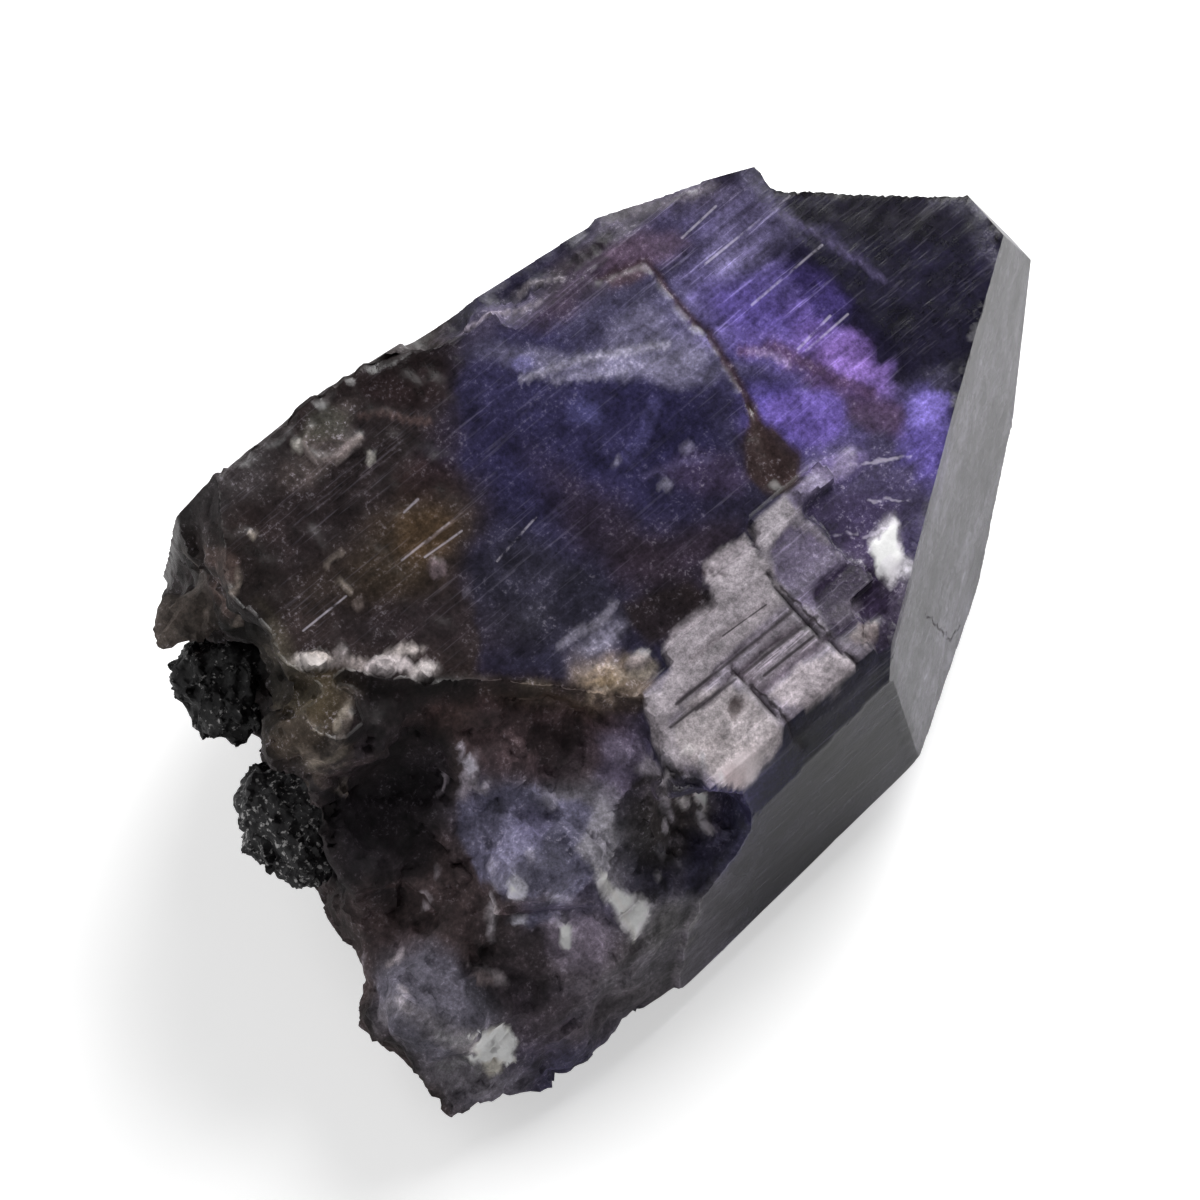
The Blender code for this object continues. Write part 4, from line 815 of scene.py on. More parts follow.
    seamWhiteC=((-6.53, 0.43, 9.84), (0.62, 0.18, 1.0), (14, 6, -23), 0.25, 0.95, (188, 178, 176), (0.2, 0, 0.5)),
    seamWhiteD=((-6.17, -0.27, 9.59), (0.33, 0.22, 1.0), (27, -14, -17), 0.25, 0.95, (186, 178, 178), (0.2, 0, 0.5)),
    lumpGlintA=((-8.31, 0.27, 9.57), (0.51, 0.13, 1.0), (20, -39, 27), 0.35, 0.9, (156, 146, 134), (0.6, 0, 0.4)),
    lumpGlintB=((-9.24, 0.08, 8.9), (0.55, 0.21, 1.0), (41, -14, -17), 0.4, 0.7, (130, 120, 110), (1.0, 0, 0.4)),
    creamGrainA=((-1.77, -3.23, 8.63), (0.4, 0.23, 1.0), (41, -14, -17), 0.35, 0.85, (182, 170, 158), (0.5, 0, 0.5)),
    creamGrainB=((-2.64, -2.98, 8.7), (0.25, 0.36, 1.0), (24, -37, 21), 0.35, 0.8, (172, 152, 126), (0.6, 0, 0.5)),
    paleSpeckT=((-1.89, -2.1, 8.94), (0.69, 0.23, 0.8), (15, 2, -9), 0.5, 0.7, (140, 136, 156), (1.0, 0.2, 0.3)),
    tipWhite=((-9.54, -6.07, 2.75), (0.6, 0.47, 0.9), (30, 5, -53), 0.16, 1.0, (228, 226, 220), (0, 0, 0.6)),
    tipWhiteNotch=((-9.7, -6.29, 2.41), (0.27, 0.25, 1.2), (6, -29, 34), 0.3, 0.9, (150, 144, 138), (0.2, 0, 0.6)),
    tipPaleStreak=((-10.25, -5.97, 3.49), (0.7, 0.22, 0.9), (16, 26, -100), 0.5, 0.7, (132, 126, 130), (0.3, 0, 0.5)),
    lobeGlintA=((-7.96, -4.42, 5.16), (0.35, 0.13, 1.2), (6, -29, 34), 0.4, 0.9, (150, 142, 146), (0.4, 0, 0.4)),
    lobeGlintB=((-6.76, -5.8, 4.61), (0.35, 0.17, 1.2), (7, -29, 32), 0.35, 0.9, (176, 170, 182), (0.3, 0, 0.4)),
    lobeGlintC=((-8.9, -5.06, 3.9), (0.4, 0.15, 1.2), (24, 19, -80), 0.4, 0.8, (150, 142, 146), (0.5, 0, 0.4)),
    lobeGlintD=((-10.79, -4.45, 4.66), (0.2, 0.13, 1.0), (28, -10, -27), 0.4, 0.8, (140, 134, 140), (0.4, 0, 0.4)),
    lobeGlintE=((-10.1, -3.35, 4.32), (0.2, 0.13, 1.0), (11, -28, 23), 0.4, 0.7, (130, 122, 126), (0.4, 0, 0.4)),
    footSpotA=((-7.39, -4.75, 6.38), (0.35, 0.31, 1.2), (43, 0, -33), 0.3, 0.95, (178, 174, 190), (0.3, 0, 0.5)),
    footSpotB=((-6.54, -5.48, 5.94), (0.4, 0.2, 1.2), (43, 7, -40), 0.3, 0.9, (168, 164, 182), (0.3, 0, 0.5)),
    edgeSpotA=((-5.36, -3.73, 6.85), (0.46, 0.18, 1.2), (26, 36, -84), 0.4, 0.8, (156, 150, 164), (0.3, 0, 0.5)),
    edgeSpotB=((-6.49, -2.31, 7.43), (0.46, 0.15, 1.2), (16, -41, 33), 0.4, 0.8, (140, 132, 142), (0.5, 0, 0.5)),
    ringSpotA=((-2.19, -5.7, 5.55), (0.3, 0.12, 1.4), (20, 23, -90), 0.3, 0.9, (170, 164, 166), (0.2, 0, 0.5)),
    ringSpotB=((-2.35, -6.11, 5.11), (0.25, 0.13, 1.4), (6, -29, 34), 0.3, 0.9, (164, 158, 164), (0.2, 0, 0.5)),
    ringSpotC=((-3.46, -5.99, 5.1), (0.35, 0.17, 1.4), (27, -14, -17), 0.4, 0.8, (128, 122, 130), (0.4, 0, 0.5)),
    ringSpotD=((-3.51, -5.74, 7.16), (0.25, 0.15, 1.4), (16, -26, 12), 0.4, 0.7, (120, 114, 120), (0.4, 0, 0.5)),
)
crystalFinish = dict(
    body=(52, 48, 70),
    bodyDark=(44, 41, 60),
    bodyDetail=(0.2, 0.35, 0.1),
    streakLight=(178, 172, 190),
    fleckLight=(182, 176, 186),
    smooth=0.12,
    frosted=0.62,
    slopeGain=0.85,
    glowGain=0.38,
    fineLines=(0.45, 12.0, 12.0),
    wideLines=(0.25, 3.6, 3.6),
    blots=1.3,
    grain=8.0,
    toneRange=(0.45, 1.5),
    lighterBy=2.6,
    crackColour=(34, 26, 32),
    glintColour=(210, 204, 216),
    zoneBrush=0.32,
    brownSpread=1.3,
    chipTone=1.3,
    patchTone=0.7,
    rimShade=0.55,
    endTone=0.45,
    sideTone=0.6,
    sidePale=2.5,
    topPolish=0.75,
    rimFrost=0.6,
    brokenFrost=0.3,
    brokenFlecks=0.18,
    grownShine=0.18,
    brokenShine=0.13,
)
# Painted reflection and shade by face: the end faces are painted pale for the bright floor they mirror, the side face
# and its bevel dark as painted shade
faceReflectionAndShade = dict(
    endFront=((100, 98, 104), 0.75),
    endTip=((100, 97, 102), 0.65),
    side=((16, 15, 20), 0.75),
    sideBevel=((26, 24, 50), 0.85),
)
# Painted reflection: the raised plate is painted pale grey for an overhead light mirrored in it
plateReflectionPaint = dict(colour=(132, 124, 136), detail=(0.35, 0.6, 0.3), strength=0.92)
hairCracks = dict(
    endUpper=((5.65, -5.84, 5.38), (7.01, -5.60, 2.0), 0.04),
    endLower=((7.01, -5.60, 2.0), (7.75, -5.26, 1.45), 0.04),
)
plateLines = dict(
    stripeA=((-1.9, -4.62, 8.47), (2.0, -4.72, 8.44), 0.045),
    stripeB=((-1.6, -5.02, 8.36), (2.3, -5.16, 8.32), 0.05),
    stripeC=((-2.4, -4.95, 8.38), (-1.2, -5.0, 8.37), 0.035),
    stripeD=((0.2, -4.1, 8.61), (1.6, -4.2, 8.58), 0.02),
    stripeE=((0.3, -5.45, 8.25), (2.1, -5.5, 8.23), 0.04),
    crossA=((2.2, -3.7, 8.72), (2.3, -6.7, 7.91), 0.05),
    crossB=((-0.18, -4.9, 8.39), (0.05, -6.9, 7.86), 0.045),
)
rippleSide = -2.0  # streaks on the near side of this y are wavy
# Painted glints: streaks of key light mirrored by groove walls, drawn as light lines on the stone
paintedGlintStreaks = (
    ((6.65, 3.12, 10.34), (9.62, 3.12, 10.28), 0.032),
    ((6.83, 1.63, 9.94), (9.34, 1.68, 9.92), 0.034),
    ((6.67, 3.97, 10.56), (7.94, 4.05, 10.58), 0.03),
    ((6.93, 0.09, 9.52), (8.17, 0.21, 9.56), 0.036),
    ((7.05, -0.07, 9.48), (8.56, -0.03, 9.49), 0.03),
    ((-3.65, 3.09, 10.33), (-3.16, 3.12, 10.34), 0.034),
    ((-4.53, 2.24, 10.1), (-2.98, 2.21, 10.09), 0.03),
    ((-4.04, 1.95, 10.02), (-2.88, 1.87, 10), 0.028),
    ((-2.73, 0.78, 9.71), (-1.21, 1, 9.77), 0.028),
    ((-7.62, 2.43, 10.15), (-6.21, 2.42, 10.15), 0.026),
    ((5.83, -2.86, 8.73), (7.2, -3.68, 8.51), 0.05),
    ((5.55, -3.79, 8.48), (6.36, -4.42, 8.31), 0.045),
    ((4.08, -3.75, 8.49), (4.73, -4.25, 8.36), 0.045),
    ((4.82, -4.42, 8.31), (5.52, -4.62, 8.26), 0.045),
)


def paint(red, green, blue):
    shades = [channel / 255 for channel in (red, green, blue)]
    return tuple(s / 12.92 if s <= 0.04045 else ((s + 0.055) / 1.055) ** 2.4 for s in shades) + (1.0,)


def warped(spots, scale, amount, seed):
    shift = np.column_stack([layeredNoise(spots * scale, 2, seed + axis, 0.5) for axis in range(3)])
    return spots + amount * shift


def zoneMask(places, centre, size, turn, soft, strength):
    turning = np.array(Euler([math.radians(angle) for angle in turn]).to_matrix())
    away = np.linalg.norm(((places - np.array(centre)) @ turning) / np.array(size), axis=1)
    return strength * easeStep(1.0 + soft, 1.0 - soft, away)


def keepOnMesh(obj, name, values):
    colours = np.ones((len(values), 4), np.float32)
    colours[:, :3] = values
    attribute = obj.data.attributes.new(name, "FLOAT_COLOR", "POINT")
    attribute.data.foreach_set("color", colours.ravel())


# The zones are laid on point by point with ragged edges, and kept on the mesh
places, normals = readMesh(crystal)
ragged = warped(warped(places, 0.75, 0.30, 51), 3.2, 0.10, 57)
brushed = crystalFinish["zoneBrush"] * layeredNoise(places * (0.25, 3.6, 3.6), 2, 98)
ragged[:, 0] += brushed * nearTop * easeStep(5.6, 6.6, places[:, 0])
mottle = easeStep(-0.5, 0.5, layeredNoise(places * 0.55, 3, 61, 0.6))[:, None]
bodyDark = np.array(paint(*crystalFinish["bodyDark"])[:3])
body = np.array(paint(*crystalFinish["body"])[:3])
stonePaint = bodyDark * (1 - mottle) + body * mottle
stoneDetail = np.tile(np.array(crystalFinish["bodyDetail"]), (len(places), 1))
brownEdge = ragged[:, 0] - brownSide["slope"] * ragged[:, 1] - brownSide["start"]
zoneMasks = {name: zoneMask(ragged, *zone[:5]) for name, zone in crystalZones.items()}
brownSoft = brownSide["soft"] + crystalFinish["brownSpread"] * easeStep(-0.3, -3.0, heightOver("top", places))
layers = [(easeStep(brownSoft, -brownSoft, brownEdge), brownSide["colour"], brownSide["detail"])]
for name, (*_, colour, detail) in crystalZones.items():
    layers.append((zoneMasks[name], colour, detail))
# Painted reflection paler on the end faces and painted shade darker on the side faces
for name, (colour, strength) in faceReflectionAndShade.items():
    facing = normals @ faceNormals[list(grownFaces).index(name)]
    mask = strength * easeStep(0.14, 0.06, np.abs(heightOver(name, places))) * easeStep(0.85, 0.95, facing)
    layers.append((mask, colour, (0.05, 0.35, 0.15)))
overTop = heightOver("top", places)
# Painted reflection on the raised growth plate
plateMask = easeStep(0.08, 0.14, overTop) * easeStep(0.8, 0.95, normals @ topNormal)
plateMask = plateMask * easeStep(0.0, -0.3, places[:, 1] - crystalShape["plateBack"])
layers.append((plateMask * plateReflectionPaint["strength"], plateReflectionPaint["colour"], plateReflectionPaint["detail"]))
for name, (*_, colour, detail, _) in stoneMarks.items():
    layers.append((markMasks[name], colour, detail))
for mask, colour, detail in layers:
    stonePaint = stonePaint * (1 - mask[:, None]) + np.array(paint(*colour)[:3]) * mask[:, None]
    stoneDetail = stoneDetail * (1 - mask[:, None]) + np.array(detail) * mask[:, None]

# Chips and patches are a little lighter or darker than their neighbours
patchTone = chipped(warped(places, 0.9, 0.35, 91) * (0.45, 0.75, 0.6), 94)[1]
patchTone = 0.6 * patchTone + 0.4 * chipped(warped(places, 1.3, 0.3, 92) * (0.9, 1.9, 1.2), 95)[1]
facetTone = 0.55 * bigTone + 0.45 * smallTone
facetTone = broken * (facetTone - 0.5) * crystalFinish["chipTone"]
facetTone += (1.0 - grown * (1.0 - nearTop)) * (1.0 - broken) * (patchTone - 0.5) * crystalFinish["patchTone"]
stonePaint *= np.maximum(0.2, 1.0 + facetTone * (1.0 - onPlate))[:, None]
stonePaint *= (1.0 + crystalFinish["slopeGain"] * broken * easeStep(0.8, -0.5, places[:, 1]))[:, None]
rimShade = easeStep(0.03, -0.04, overTop) * easeStep(-0.5, -0.2, overTop) * broken
stonePaint *= (1.0 - crystalFinish["rimShade"] * rimShade)[:, None]
# Painted glow: the violet end of the top is painted lighter for light passing through the stone
paintedGlow = nearTop * easeStep(3.4, 5.4, places[:, 0]) * (1.0 - zoneMasks["darkFacet"])
stonePaint *= (1.0 + crystalFinish["glowGain"] * paintedGlow)[:, None]

# Streaks across the end face, and a mottled side face that is paler towards the broken end
acrossEnd = (places @ np.array([0.848, 0.511, 0.137])) * 0.15
onEnd = easeStep(0.2, 0.08, np.abs(heightOver("endFront", places)))
endTone = layeredNoise(np.column_stack([acrossEnd, places[:, 2] * 0.7, places[:, 1] * 0.7]), 3, 96)
stonePaint *= (1.0 + crystalFinish["endTone"] * onEnd * endTone)[:, None]
offSide = np.minimum(np.abs(heightOver("side", places)), np.abs(heightOver("sideBevel", places)))
onSide = easeStep(0.2, 0.08, offSide)
sideTone = layeredNoise(places * (0.35, 0.9, 0.9), 3, 97)
sidePale = crystalFinish["sidePale"] * onSide * easeStep(0.5, -3.5, places[:, 0])
sideTone = np.maximum(0.3, 1.0 + crystalFinish["sideTone"] * onSide * sideTone)
stonePaint *= (sideTone + sidePale)[:, None]

# The top is glossier, and its rim and the broken skin are duller
onTop = easeStep(0.35, 0.2, np.abs(overTop)) * easeStep(0.7, 0.9, normals @ topNormal) * (1.0 - plateMask)
stoneDetail[:, 2] *= 1.0 - crystalFinish["topPolish"] * onTop
rimRough = easeStep(0.45, 0.2, np.abs(overTop)) * easeStep(0.95, 0.8, normals @ topNormal)
rimRough *= easeStep(6.0, 4.0, places[:, 0])
rimRough = np.maximum(rimRough, markMasks["rimWear"])
stoneDetail[:, 2] += crystalFinish["rimFrost"] * rimRough
stoneDetail[:, 2] += crystalFinish["brokenFrost"] * broken
stoneDetail[:, 0] += crystalFinish["brokenFlecks"] * broken
keepOnMesh(crystal, "stonePaint", np.clip(stonePaint, 0.0, 0.92))
keepOnMesh(crystal, "stoneDetail", stoneDetail)
print("zones laid on", len(layers))


# Graphite crusts
crustShape = dict(
    cell=0.07,
    triangles=30000,
    grainSize=0.5,
    grain=0.07,
    size=2.2,
    lumps=0.035,
    bigChips=0.16,
    smallChips=0.07,
)


def makeCrust(nodeName, pieceName, seed):
    crust = mergedCopy(nodeName, pieceName)
    evenMesh(crust, crustShape["cell"])
    texture = bpy.data.textures.new(pieceName + "Grain", "VORONOI")
    texture.noise_scale = crustShape["grainSize"] * mm
    texture.distance_metric = "DISTANCE_SQUARED"
    texture.weight_1 = -1.0
    texture.weight_2 = 1.0
    grain = crust.modifiers.new("grain", "DISPLACE")
    grain.texture = texture
    grain.texture_coords = "LOCAL"
    grain.strength = crustShape["grain"] * mm
    grain.mid_level = 0.6
    applyModifiers(crust)
    bpy.data.textures.remove(texture)
    spots, normals = readMesh(crust)
    rough = layeredNoise(spots * crustShape["size"], 4, seed, 0.6)
    rough = crustShape["lumps"] * rough + crustShape["bigChips"] * chipped(spots * 1.7, seed + 5)[0]
    rough += crustShape["smallChips"] * chipped(spots * 3.6, seed + 6)[0]
    spots += normals * (rough - 0.02)[:, None]
    writeMesh(crust, np.clip(spots, boxLow, boxHigh))
    thinMesh(crust, crustShape["triangles"])
    makeActive(crust)
    bpy.ops.object.shade_smooth_by_angle(angle=math.radians(30))
    return crust


upperCrust = makeCrust("graphite_crust_upper", "upperCrust", 41)
lowerCrust = makeCrust("graphite_crust_lower", "lowerCrust", 43)
print("crusts done")


# Node helpers
def plug(tree, value, socket):
    if isinstance(value, bpy.types.NodeSocket):
        tree.links.new(value, socket)
    else:
        socket.default_value = value


def calc(tree, operation, *values, clamp=False):
    node = tree.nodes.new("ShaderNodeMath")
    node.operation = operation
    node.use_clamp = clamp
    for value, socket in zip(values, node.inputs):
        plug(tree, value, socket)
    return node.outputs[0]


def vectorCalc(tree, operation, *values):
    node = tree.nodes.new("ShaderNodeVectorMath")
    node.operation = operation
    for value, socket in zip(values, node.inputs):
        plug(tree, value, socket)
    return node.outputs["Value"] if operation in ("LENGTH", "DOT_PRODUCT") else node.outputs[0]


def spread(tree, value, low, high, newLow=0.0, newHigh=1.0, smooth=True):
    node = tree.nodes.new("ShaderNodeMapRange")
    node.interpolation_type = "SMOOTHSTEP" if smooth else "LINEAR"
    for number, item in enumerate((value, low, high, newLow, newHigh)):
        plug(tree, item, node.inputs[number])
    return node.outputs[0]


def mixColours(tree, factor, first, second, mode="MIX"):
    node = tree.nodes.new("ShaderNodeMix")
    node.data_type = "RGBA"
    node.blend_type = mode
    plug(tree, factor, node.inputs["Factor"])
    plug(tree, first, node.inputs["A"])
    plug(tree, second, node.inputs["B"])
    return node.outputs["Result"]


def noiseAt(tree, place, scale, detail=2.0, roughness=0.5, stretch=None, output="Fac"):
    if stretch:
        place = vectorCalc(tree, "MULTIPLY", place, stretch)
    node = tree.nodes.new("ShaderNodeTexNoise")
    plug(tree, place, node.inputs["Vector"])
    node.inputs["Scale"].default_value = scale
    node.inputs["Detail"].default_value = detail
    node.inputs["Roughness"].default_value = roughness
    return node.outputs[output]


def readAttribute(tree, name):
    node = tree.nodes.new("ShaderNodeAttribute")
    node.attribute_name = name
    return node.outputs["Color"]


def newGroup(name, inputs, outputs):
    group = bpy.data.node_groups.new(name, "ShaderNodeTree")
    for label, kind, value in inputs:
        socket = group.interface.new_socket(label, in_out="INPUT", socket_type="NodeSocket" + kind)
        if value is not None:
            socket.default_value = value
    for label, kind in outputs:
        group.interface.new_socket(label, in_out="OUTPUT", socket_type="NodeSocket" + kind)
    start = group.nodes.new("NodeGroupInput")
    end = group.nodes.new("NodeGroupOutput")
    return group, start.outputs, end.inputs


def useGroup(tree, group, **values):
    node = tree.nodes.new("ShaderNodeGroup")
    node.node_tree = group
    for label, value in values.items():
        plug(tree, value, node.inputs[label])
    return node.outputs


# Shared effects
def makeStonePlace():
    group, _, end = newGroup("stonePlace", [], [("place", "Vector")])
    coords = group.nodes.new("ShaderNodeTexCoord")
    place = vectorCalc(group, "SCALE", coords.outputs["Object"])
    place.node.inputs["Scale"].default_value = 1 / mm
    group.links.new(vectorCalc(group, "ADD", place, tuple(stoneMiddle)), end["place"])
    return group


def makeLine():
    inputs = [
        ("place", "Vector", None),
        ("start", "Vector", (0, 0, 0)),
        ("end", "Vector", (1, 0, 0)),
        ("width", "Float", 0.05),
        ("soft", "Float", 0.5),
    ]
    group, start, end = newGroup("crackLine", inputs, [("mask", "Float")])
    run = vectorCalc(group, "SUBTRACT", start["end"], start["start"])
    offset = vectorCalc(group, "SUBTRACT", start["place"], start["start"])
    share = calc(
        group,
        "DIVIDE",
        vectorCalc(group, "DOT_PRODUCT", offset, run),
        vectorCalc(group, "DOT_PRODUCT", run, run),
        clamp=True,
    )
    nearest = group.nodes.new("ShaderNodeVectorMath")
    nearest.operation = "SCALE"
    group.links.new(run, nearest.inputs[0])
    group.links.new(share, nearest.inputs["Scale"])
    away = vectorCalc(group, "LENGTH", vectorCalc(group, "SUBTRACT", offset, nearest.outputs[0]))
    wide = calc(group, "MULTIPLY", start["width"], calc(group, "ADD", 1.0, start["soft"]))
    group.links.new(spread(group, away, wide, calc(group, "MULTIPLY", start["width"], 0.4)), end["mask"])
    return group


stonePlace = makeStonePlace()
crackLine = makeLine()


# Each line is wavy or straight by the place that it reads
def drawLines(tree, lines):
    drawn = 0.0
    for place, (start, end, width) in lines:
        mask = useGroup(tree, crackLine, place=place, start=start, end=end, width=width)["mask"]
        drawn = calc(tree, "MAXIMUM", drawn, mask)
    return drawn


def crystalMaterial(name, shine):
    material = bpy.data.materials.new(name)
    material.use_nodes = True
    tree = material.node_tree
    shader = tree.nodes["Principled BSDF"]
    shader.inputs["IOR"].default_value = 1.69
    shader.inputs["Specular IOR Level"].default_value = shine
    place = useGroup(tree, stonePlace)["place"]
    colour = readAttribute(tree, "stonePaint")
    amounts = tree.nodes.new("ShaderNodeSeparateColor")
    tree.links.new(readAttribute(tree, "stoneDetail"), amounts.inputs[0])
    flecked, streaked, frosted = amounts.outputs[0], amounts.outputs[1], amounts.outputs[2]

    # Fine and wide streaks run along the crystal, and blots and grain mottle it
    lines = noiseAt(tree, place, 1.0, 3.0, 0.65, crystalFinish["fineLines"])
    wideLines = noiseAt(tree, place, 1.0, 3.0, 0.6, crystalFinish["wideLines"])
    blots = noiseAt(tree, place, crystalFinish["blots"], 5.0, 0.68)
    grain = noiseAt(tree, place, crystalFinish["grain"], 5.0, 0.78)
    shade = spread(tree, wideLines, 0.3, 0.7, *crystalFinish["toneRange"], smooth=False)
    shade = calc(tree, "ADD", 1.0, calc(tree, "MULTIPLY", calc(tree, "SUBTRACT", shade, 1.0), streaked))
    tone = spread(tree, blots, 0.32, 0.68, *crystalFinish["toneRange"], smooth=False)
    tone = calc(tree, "MULTIPLY", tone, spread(tree, grain, 0.3, 0.7, 0.45, 1.55, smooth=False))
    # Pale chips are cleaner than the rest
    paleness = tree.nodes.new("ShaderNodeSeparateColor")
    tree.links.new(colour, paleness.inputs[0])
    calm = spread(tree, paleness.outputs[0], 0.45, 0.75, 0.0, 0.85)
    tone = calc(tree, "ADD", tone, calc(tree, "MULTIPLY", calm, calc(tree, "SUBTRACT", 1.0, tone)))
    gray = tree.nodes.new("ShaderNodeCombineColor")
    for socket in gray.inputs:
        tree.links.new(calc(tree, "MULTIPLY", shade, tone), socket)
    colour = mixColours(tree, 1.0, colour, gray.outputs[0], "MULTIPLY")

    # Pale streaks, partly the stone's own striations and partly painted glints on its grooves, then flecks
    lighterBy = (*[crystalFinish["lighterBy"]] * 3, 1.0)
    lighter = mixColours(tree, 1.0, colour, lighterBy, "MULTIPLY")
    lighter = mixColours(tree, 0.3, lighter, paint(*crystalFinish["streakLight"]))
    paleStreaksAndGlints = calc(tree, "MULTIPLY", spread(tree, lines, 0.55, 0.64), spread(tree, wideLines, 0.42, 0.6))
    paleStreaksAndGlints = calc(tree, "MULTIPLY", paleStreaksAndGlints, calc(tree, "MULTIPLY", streaked, 0.9))
    colour = mixColours(tree, paleStreaksAndGlints, colour, lighter)
    flecks = calc(tree, "MULTIPLY", flecked, spread(tree, blots, 0.46, 0.60))
    flecks = calc(tree, "MULTIPLY", spread(tree, grain, 0.55, 0.64), flecks)
    fleckColour = mixColours(tree, 0.6, lighter, paint(*crystalFinish["fleckLight"]))
    colour = mixColours(tree, flecks, colour, fleckColour)

    # Dark cracks and plate lines, then a few painted glints: streaks of key light on the top's grooves
    shaken = noiseAt(tree, place, 3.0, 2.0, 0.5, output="Color")
    shaken = vectorCalc(tree, "SUBTRACT", shaken, (0.5, 0.5, 0.5))
    shaken = vectorCalc(tree, "ADD", place, vectorCalc(tree, "MULTIPLY", shaken, (0.35, 0.35, 0.35)))
    darkLines = [(shaken, line) for line in hairCracks.values()]
    darkLines += [(place if name.startswith("stripe") else shaken, line) for name, line in plateLines.items()]
    cracked = drawLines(tree, darkLines)
    colour = mixColours(tree, calc(tree, "MULTIPLY", cracked, 0.85), colour, paint(*crystalFinish["crackColour"]))
    # Painted glints: light streaks where groove walls would mirror the key light
    paintedGlints = drawLines(tree, [(shaken if line[0][1] < rippleSide else place, line) for line in paintedGlintStreaks])
    paintedGlints = calc(tree, "MULTIPLY", paintedGlints, spread(tree, blots, 0.38, 0.55, 0.0, 0.7))
    glintColour = mixColours(tree, 0.5, lighter, paint(*crystalFinish["glintColour"]))
    colour = mixColours(tree, paintedGlints, colour, glintColour)
    tree.links.new(colour, shader.inputs["Base Color"])

    rough = spread(tree, frosted, 0.0, 0.6, crystalFinish["smooth"], crystalFinish["frosted"], smooth=False)
    rough = calc(tree, "ADD", rough, calc(tree, "MULTIPLY", cracked, 0.4), clamp=True)
    tree.links.new(rough, shader.inputs["Roughness"])
    height = calc(tree, "MULTIPLY", lines, calc(tree, "ADD", 0.12, calc(tree, "MULTIPLY", streaked, 0.8)))
    height = calc(tree, "ADD", height, calc(tree, "MULTIPLY", grain, calc(tree, "MULTIPLY", frosted, 14.0)))
    bump = tree.nodes.new("ShaderNodeBump")
    bump.inputs["Strength"].default_value = 0.3
    bump.inputs["Distance"].default_value = 0.02 * mm
    tree.links.new(height, bump.inputs["Height"])
    tree.links.new(bump.outputs[0], shader.inputs["Normal"])
    return material


graphiteFinish = dict(flake=(176, 174, 174), plain=((4, 3, 5), 0.05), specked=((32, 31, 33), 0.16))


def graphiteMaterial(name, shade, specked):
    material = bpy.data.materials.new(name)
    material.use_nodes = True
    tree = material.node_tree
    shader = tree.nodes["Principled BSDF"]
    shader.inputs["IOR"].default_value = 1.6
    shader.inputs["Specular IOR Level"].default_value = 0.3
    place = useGroup(tree, stonePlace)["place"]
    grain = noiseAt(tree, place, 3.2, 5.0, 0.7)
    specks = noiseAt(tree, place, 7.0, 3.0, 0.6)
    lit = spread(tree, grain, 0.54 - specked, 0.66 - specked)
    lit = calc(tree, "MULTIPLY", spread(tree, specks, 0.56, 0.64), lit)
    colour = mixColours(tree, lit, paint(*shade), paint(*graphiteFinish["flake"]))
    tree.links.new(colour, shader.inputs["Base Color"])
    tree.links.new(spread(tree, grain, 0.3, 0.7, 0.7, 0.4), shader.inputs["Roughness"])
    bump = tree.nodes.new("ShaderNodeBump")
    bump.inputs["Strength"].default_value = 0.8
    bump.inputs["Distance"].default_value = 0.06 * mm
    tree.links.new(grain, bump.inputs["Height"])
    tree.links.new(bump.outputs[0], shader.inputs["Normal"])
    return material


tanzanite = crystalMaterial("tanzanite", crystalFinish["grownShine"])
tanzaniteBroken = crystalMaterial("tanzaniteBroken", crystalFinish["brokenShine"])
graphite = graphiteMaterial("graphite", *graphiteFinish["plain"])
graphiteSpecked = graphiteMaterial("graphiteSpecked", *graphiteFinish["specked"])
for piece, material in ((crystal, tanzanite), (upperCrust, graphite), (lowerCrust, graphiteSpecked)):
    piece.data.materials.clear()
    piece.data.materials.append(material)
crystal.data.materials.append(tanzaniteBroken)

# The duller material goes on each face whose points are mostly broken skin, rim or side face
corners = np.empty(len(crystal.data.loops), np.int32)
crystal.data.loops.foreach_get("vertex_index", corners)
starts = np.empty(len(crystal.data.polygons), np.int32)
crystal.data.polygons.foreach_get("loop_start", starts)
duller = np.maximum.reduce([1.0 - grown, rimRough, onSide])[corners]
duller = np.add.reduceat(duller, starts) / np.diff(np.append(starts, len(corners)))
crystal.data.polygons.foreach_set("material_index", (duller > 0.5).astype(np.int32))
print("materials done")


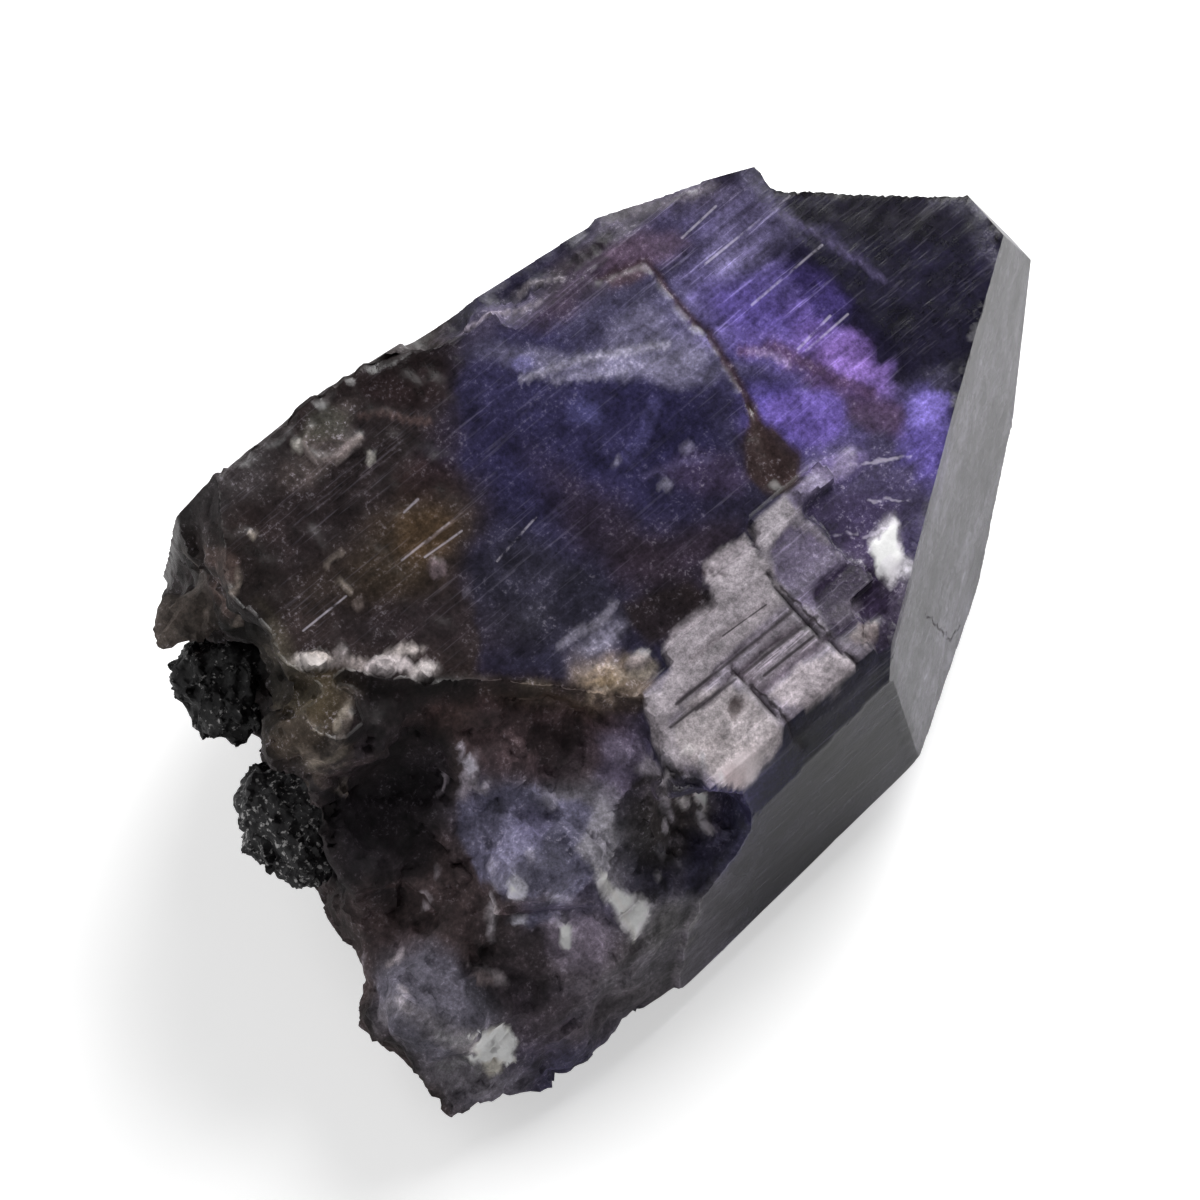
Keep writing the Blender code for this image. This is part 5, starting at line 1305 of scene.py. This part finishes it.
# Floor and studio light
studio = dict(
    floor=(0.88, 0.88, 0.88),
    floorGlow=0.50,
    key=((0.74, 0.30, 0.62), 0.5, 0.36, 8.5),
    backFill=((-0.45, 0.75, 0.9), 0.5, 0.45, 1.2),
    skyTop=0.10,
    skyEdge=0.9,
    skyFade=(0.10, 0.42),
)
deselectAll()
bpy.ops.mesh.primitive_plane_add(size=3.0, location=(0, 0, 0))
floor = bpy.context.object
floor.name = "floor"
floorMaterial = bpy.data.materials.new("paleFloor")
floorMaterial.use_nodes = True
floorShader = floorMaterial.node_tree.nodes["Principled BSDF"]
floorShader.inputs["Base Color"].default_value = (*studio["floor"], 1.0)
floorShader.inputs["Roughness"].default_value = 0.9
floorShader.inputs["Specular IOR Level"].default_value = 0.0
floorShader.inputs["Emission Color"].default_value = (1, 1, 1, 1)
lightPath = floorMaterial.node_tree.nodes.new("ShaderNodeLightPath")
seen = calc(floorMaterial.node_tree, "MULTIPLY", lightPath.outputs["Is Camera Ray"], studio["floorGlow"])
floorMaterial.node_tree.links.new(seen, floorShader.inputs["Emission Strength"])
floor.data.materials.append(floorMaterial)


def softbox(name, direction, distance, size, radiance):
    way = Vector(direction).normalized()
    bpy.ops.object.light_add(type="AREA", location=way * distance)
    lamp = bpy.context.object
    lamp.name = name
    sideways = Vector((way.z, 0, -way.x)).normalized()
    lamp.rotation_euler = Matrix((sideways, way.cross(sideways), way)).transposed().to_euler()
    lamp.data.shape = "SQUARE"
    lamp.data.size = size
    lamp.data.energy = radiance * math.pi * size * size
    return lamp


softbox("keySoftbox", *studio["key"])
softbox("backSoftbox", *studio["backFill"])
world = bpy.data.worlds.new("studioAir")
bpy.context.scene.world = world
world.use_nodes = True
air = world.node_tree
background = air.nodes["Background"]
skyCoords = air.nodes.new("ShaderNodeTexCoord")
skySplit = air.nodes.new("ShaderNodeSeparateXYZ")
air.links.new(skyCoords.outputs["Generated"], skySplit.inputs[0])
glow = spread(air, skySplit.outputs["Z"], *studio["skyFade"], studio["skyEdge"], studio["skyTop"])
air.links.new(glow, background.inputs["Strength"])
background.inputs["Color"].default_value = (1, 1, 1, 1)
bpy.context.scene.view_settings.view_transform = "Standard"
print("studio done")


# Bodies and nodes
for piece, node, slotName in (
    (crystal, "tanzanite_crystal", "tanzanite"),
    (upperCrust, "graphite_crust_upper", "graphite"),
    (lowerCrust, "graphite_crust_lower", "graphite"),
):
    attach(piece, "root")
    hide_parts(node)
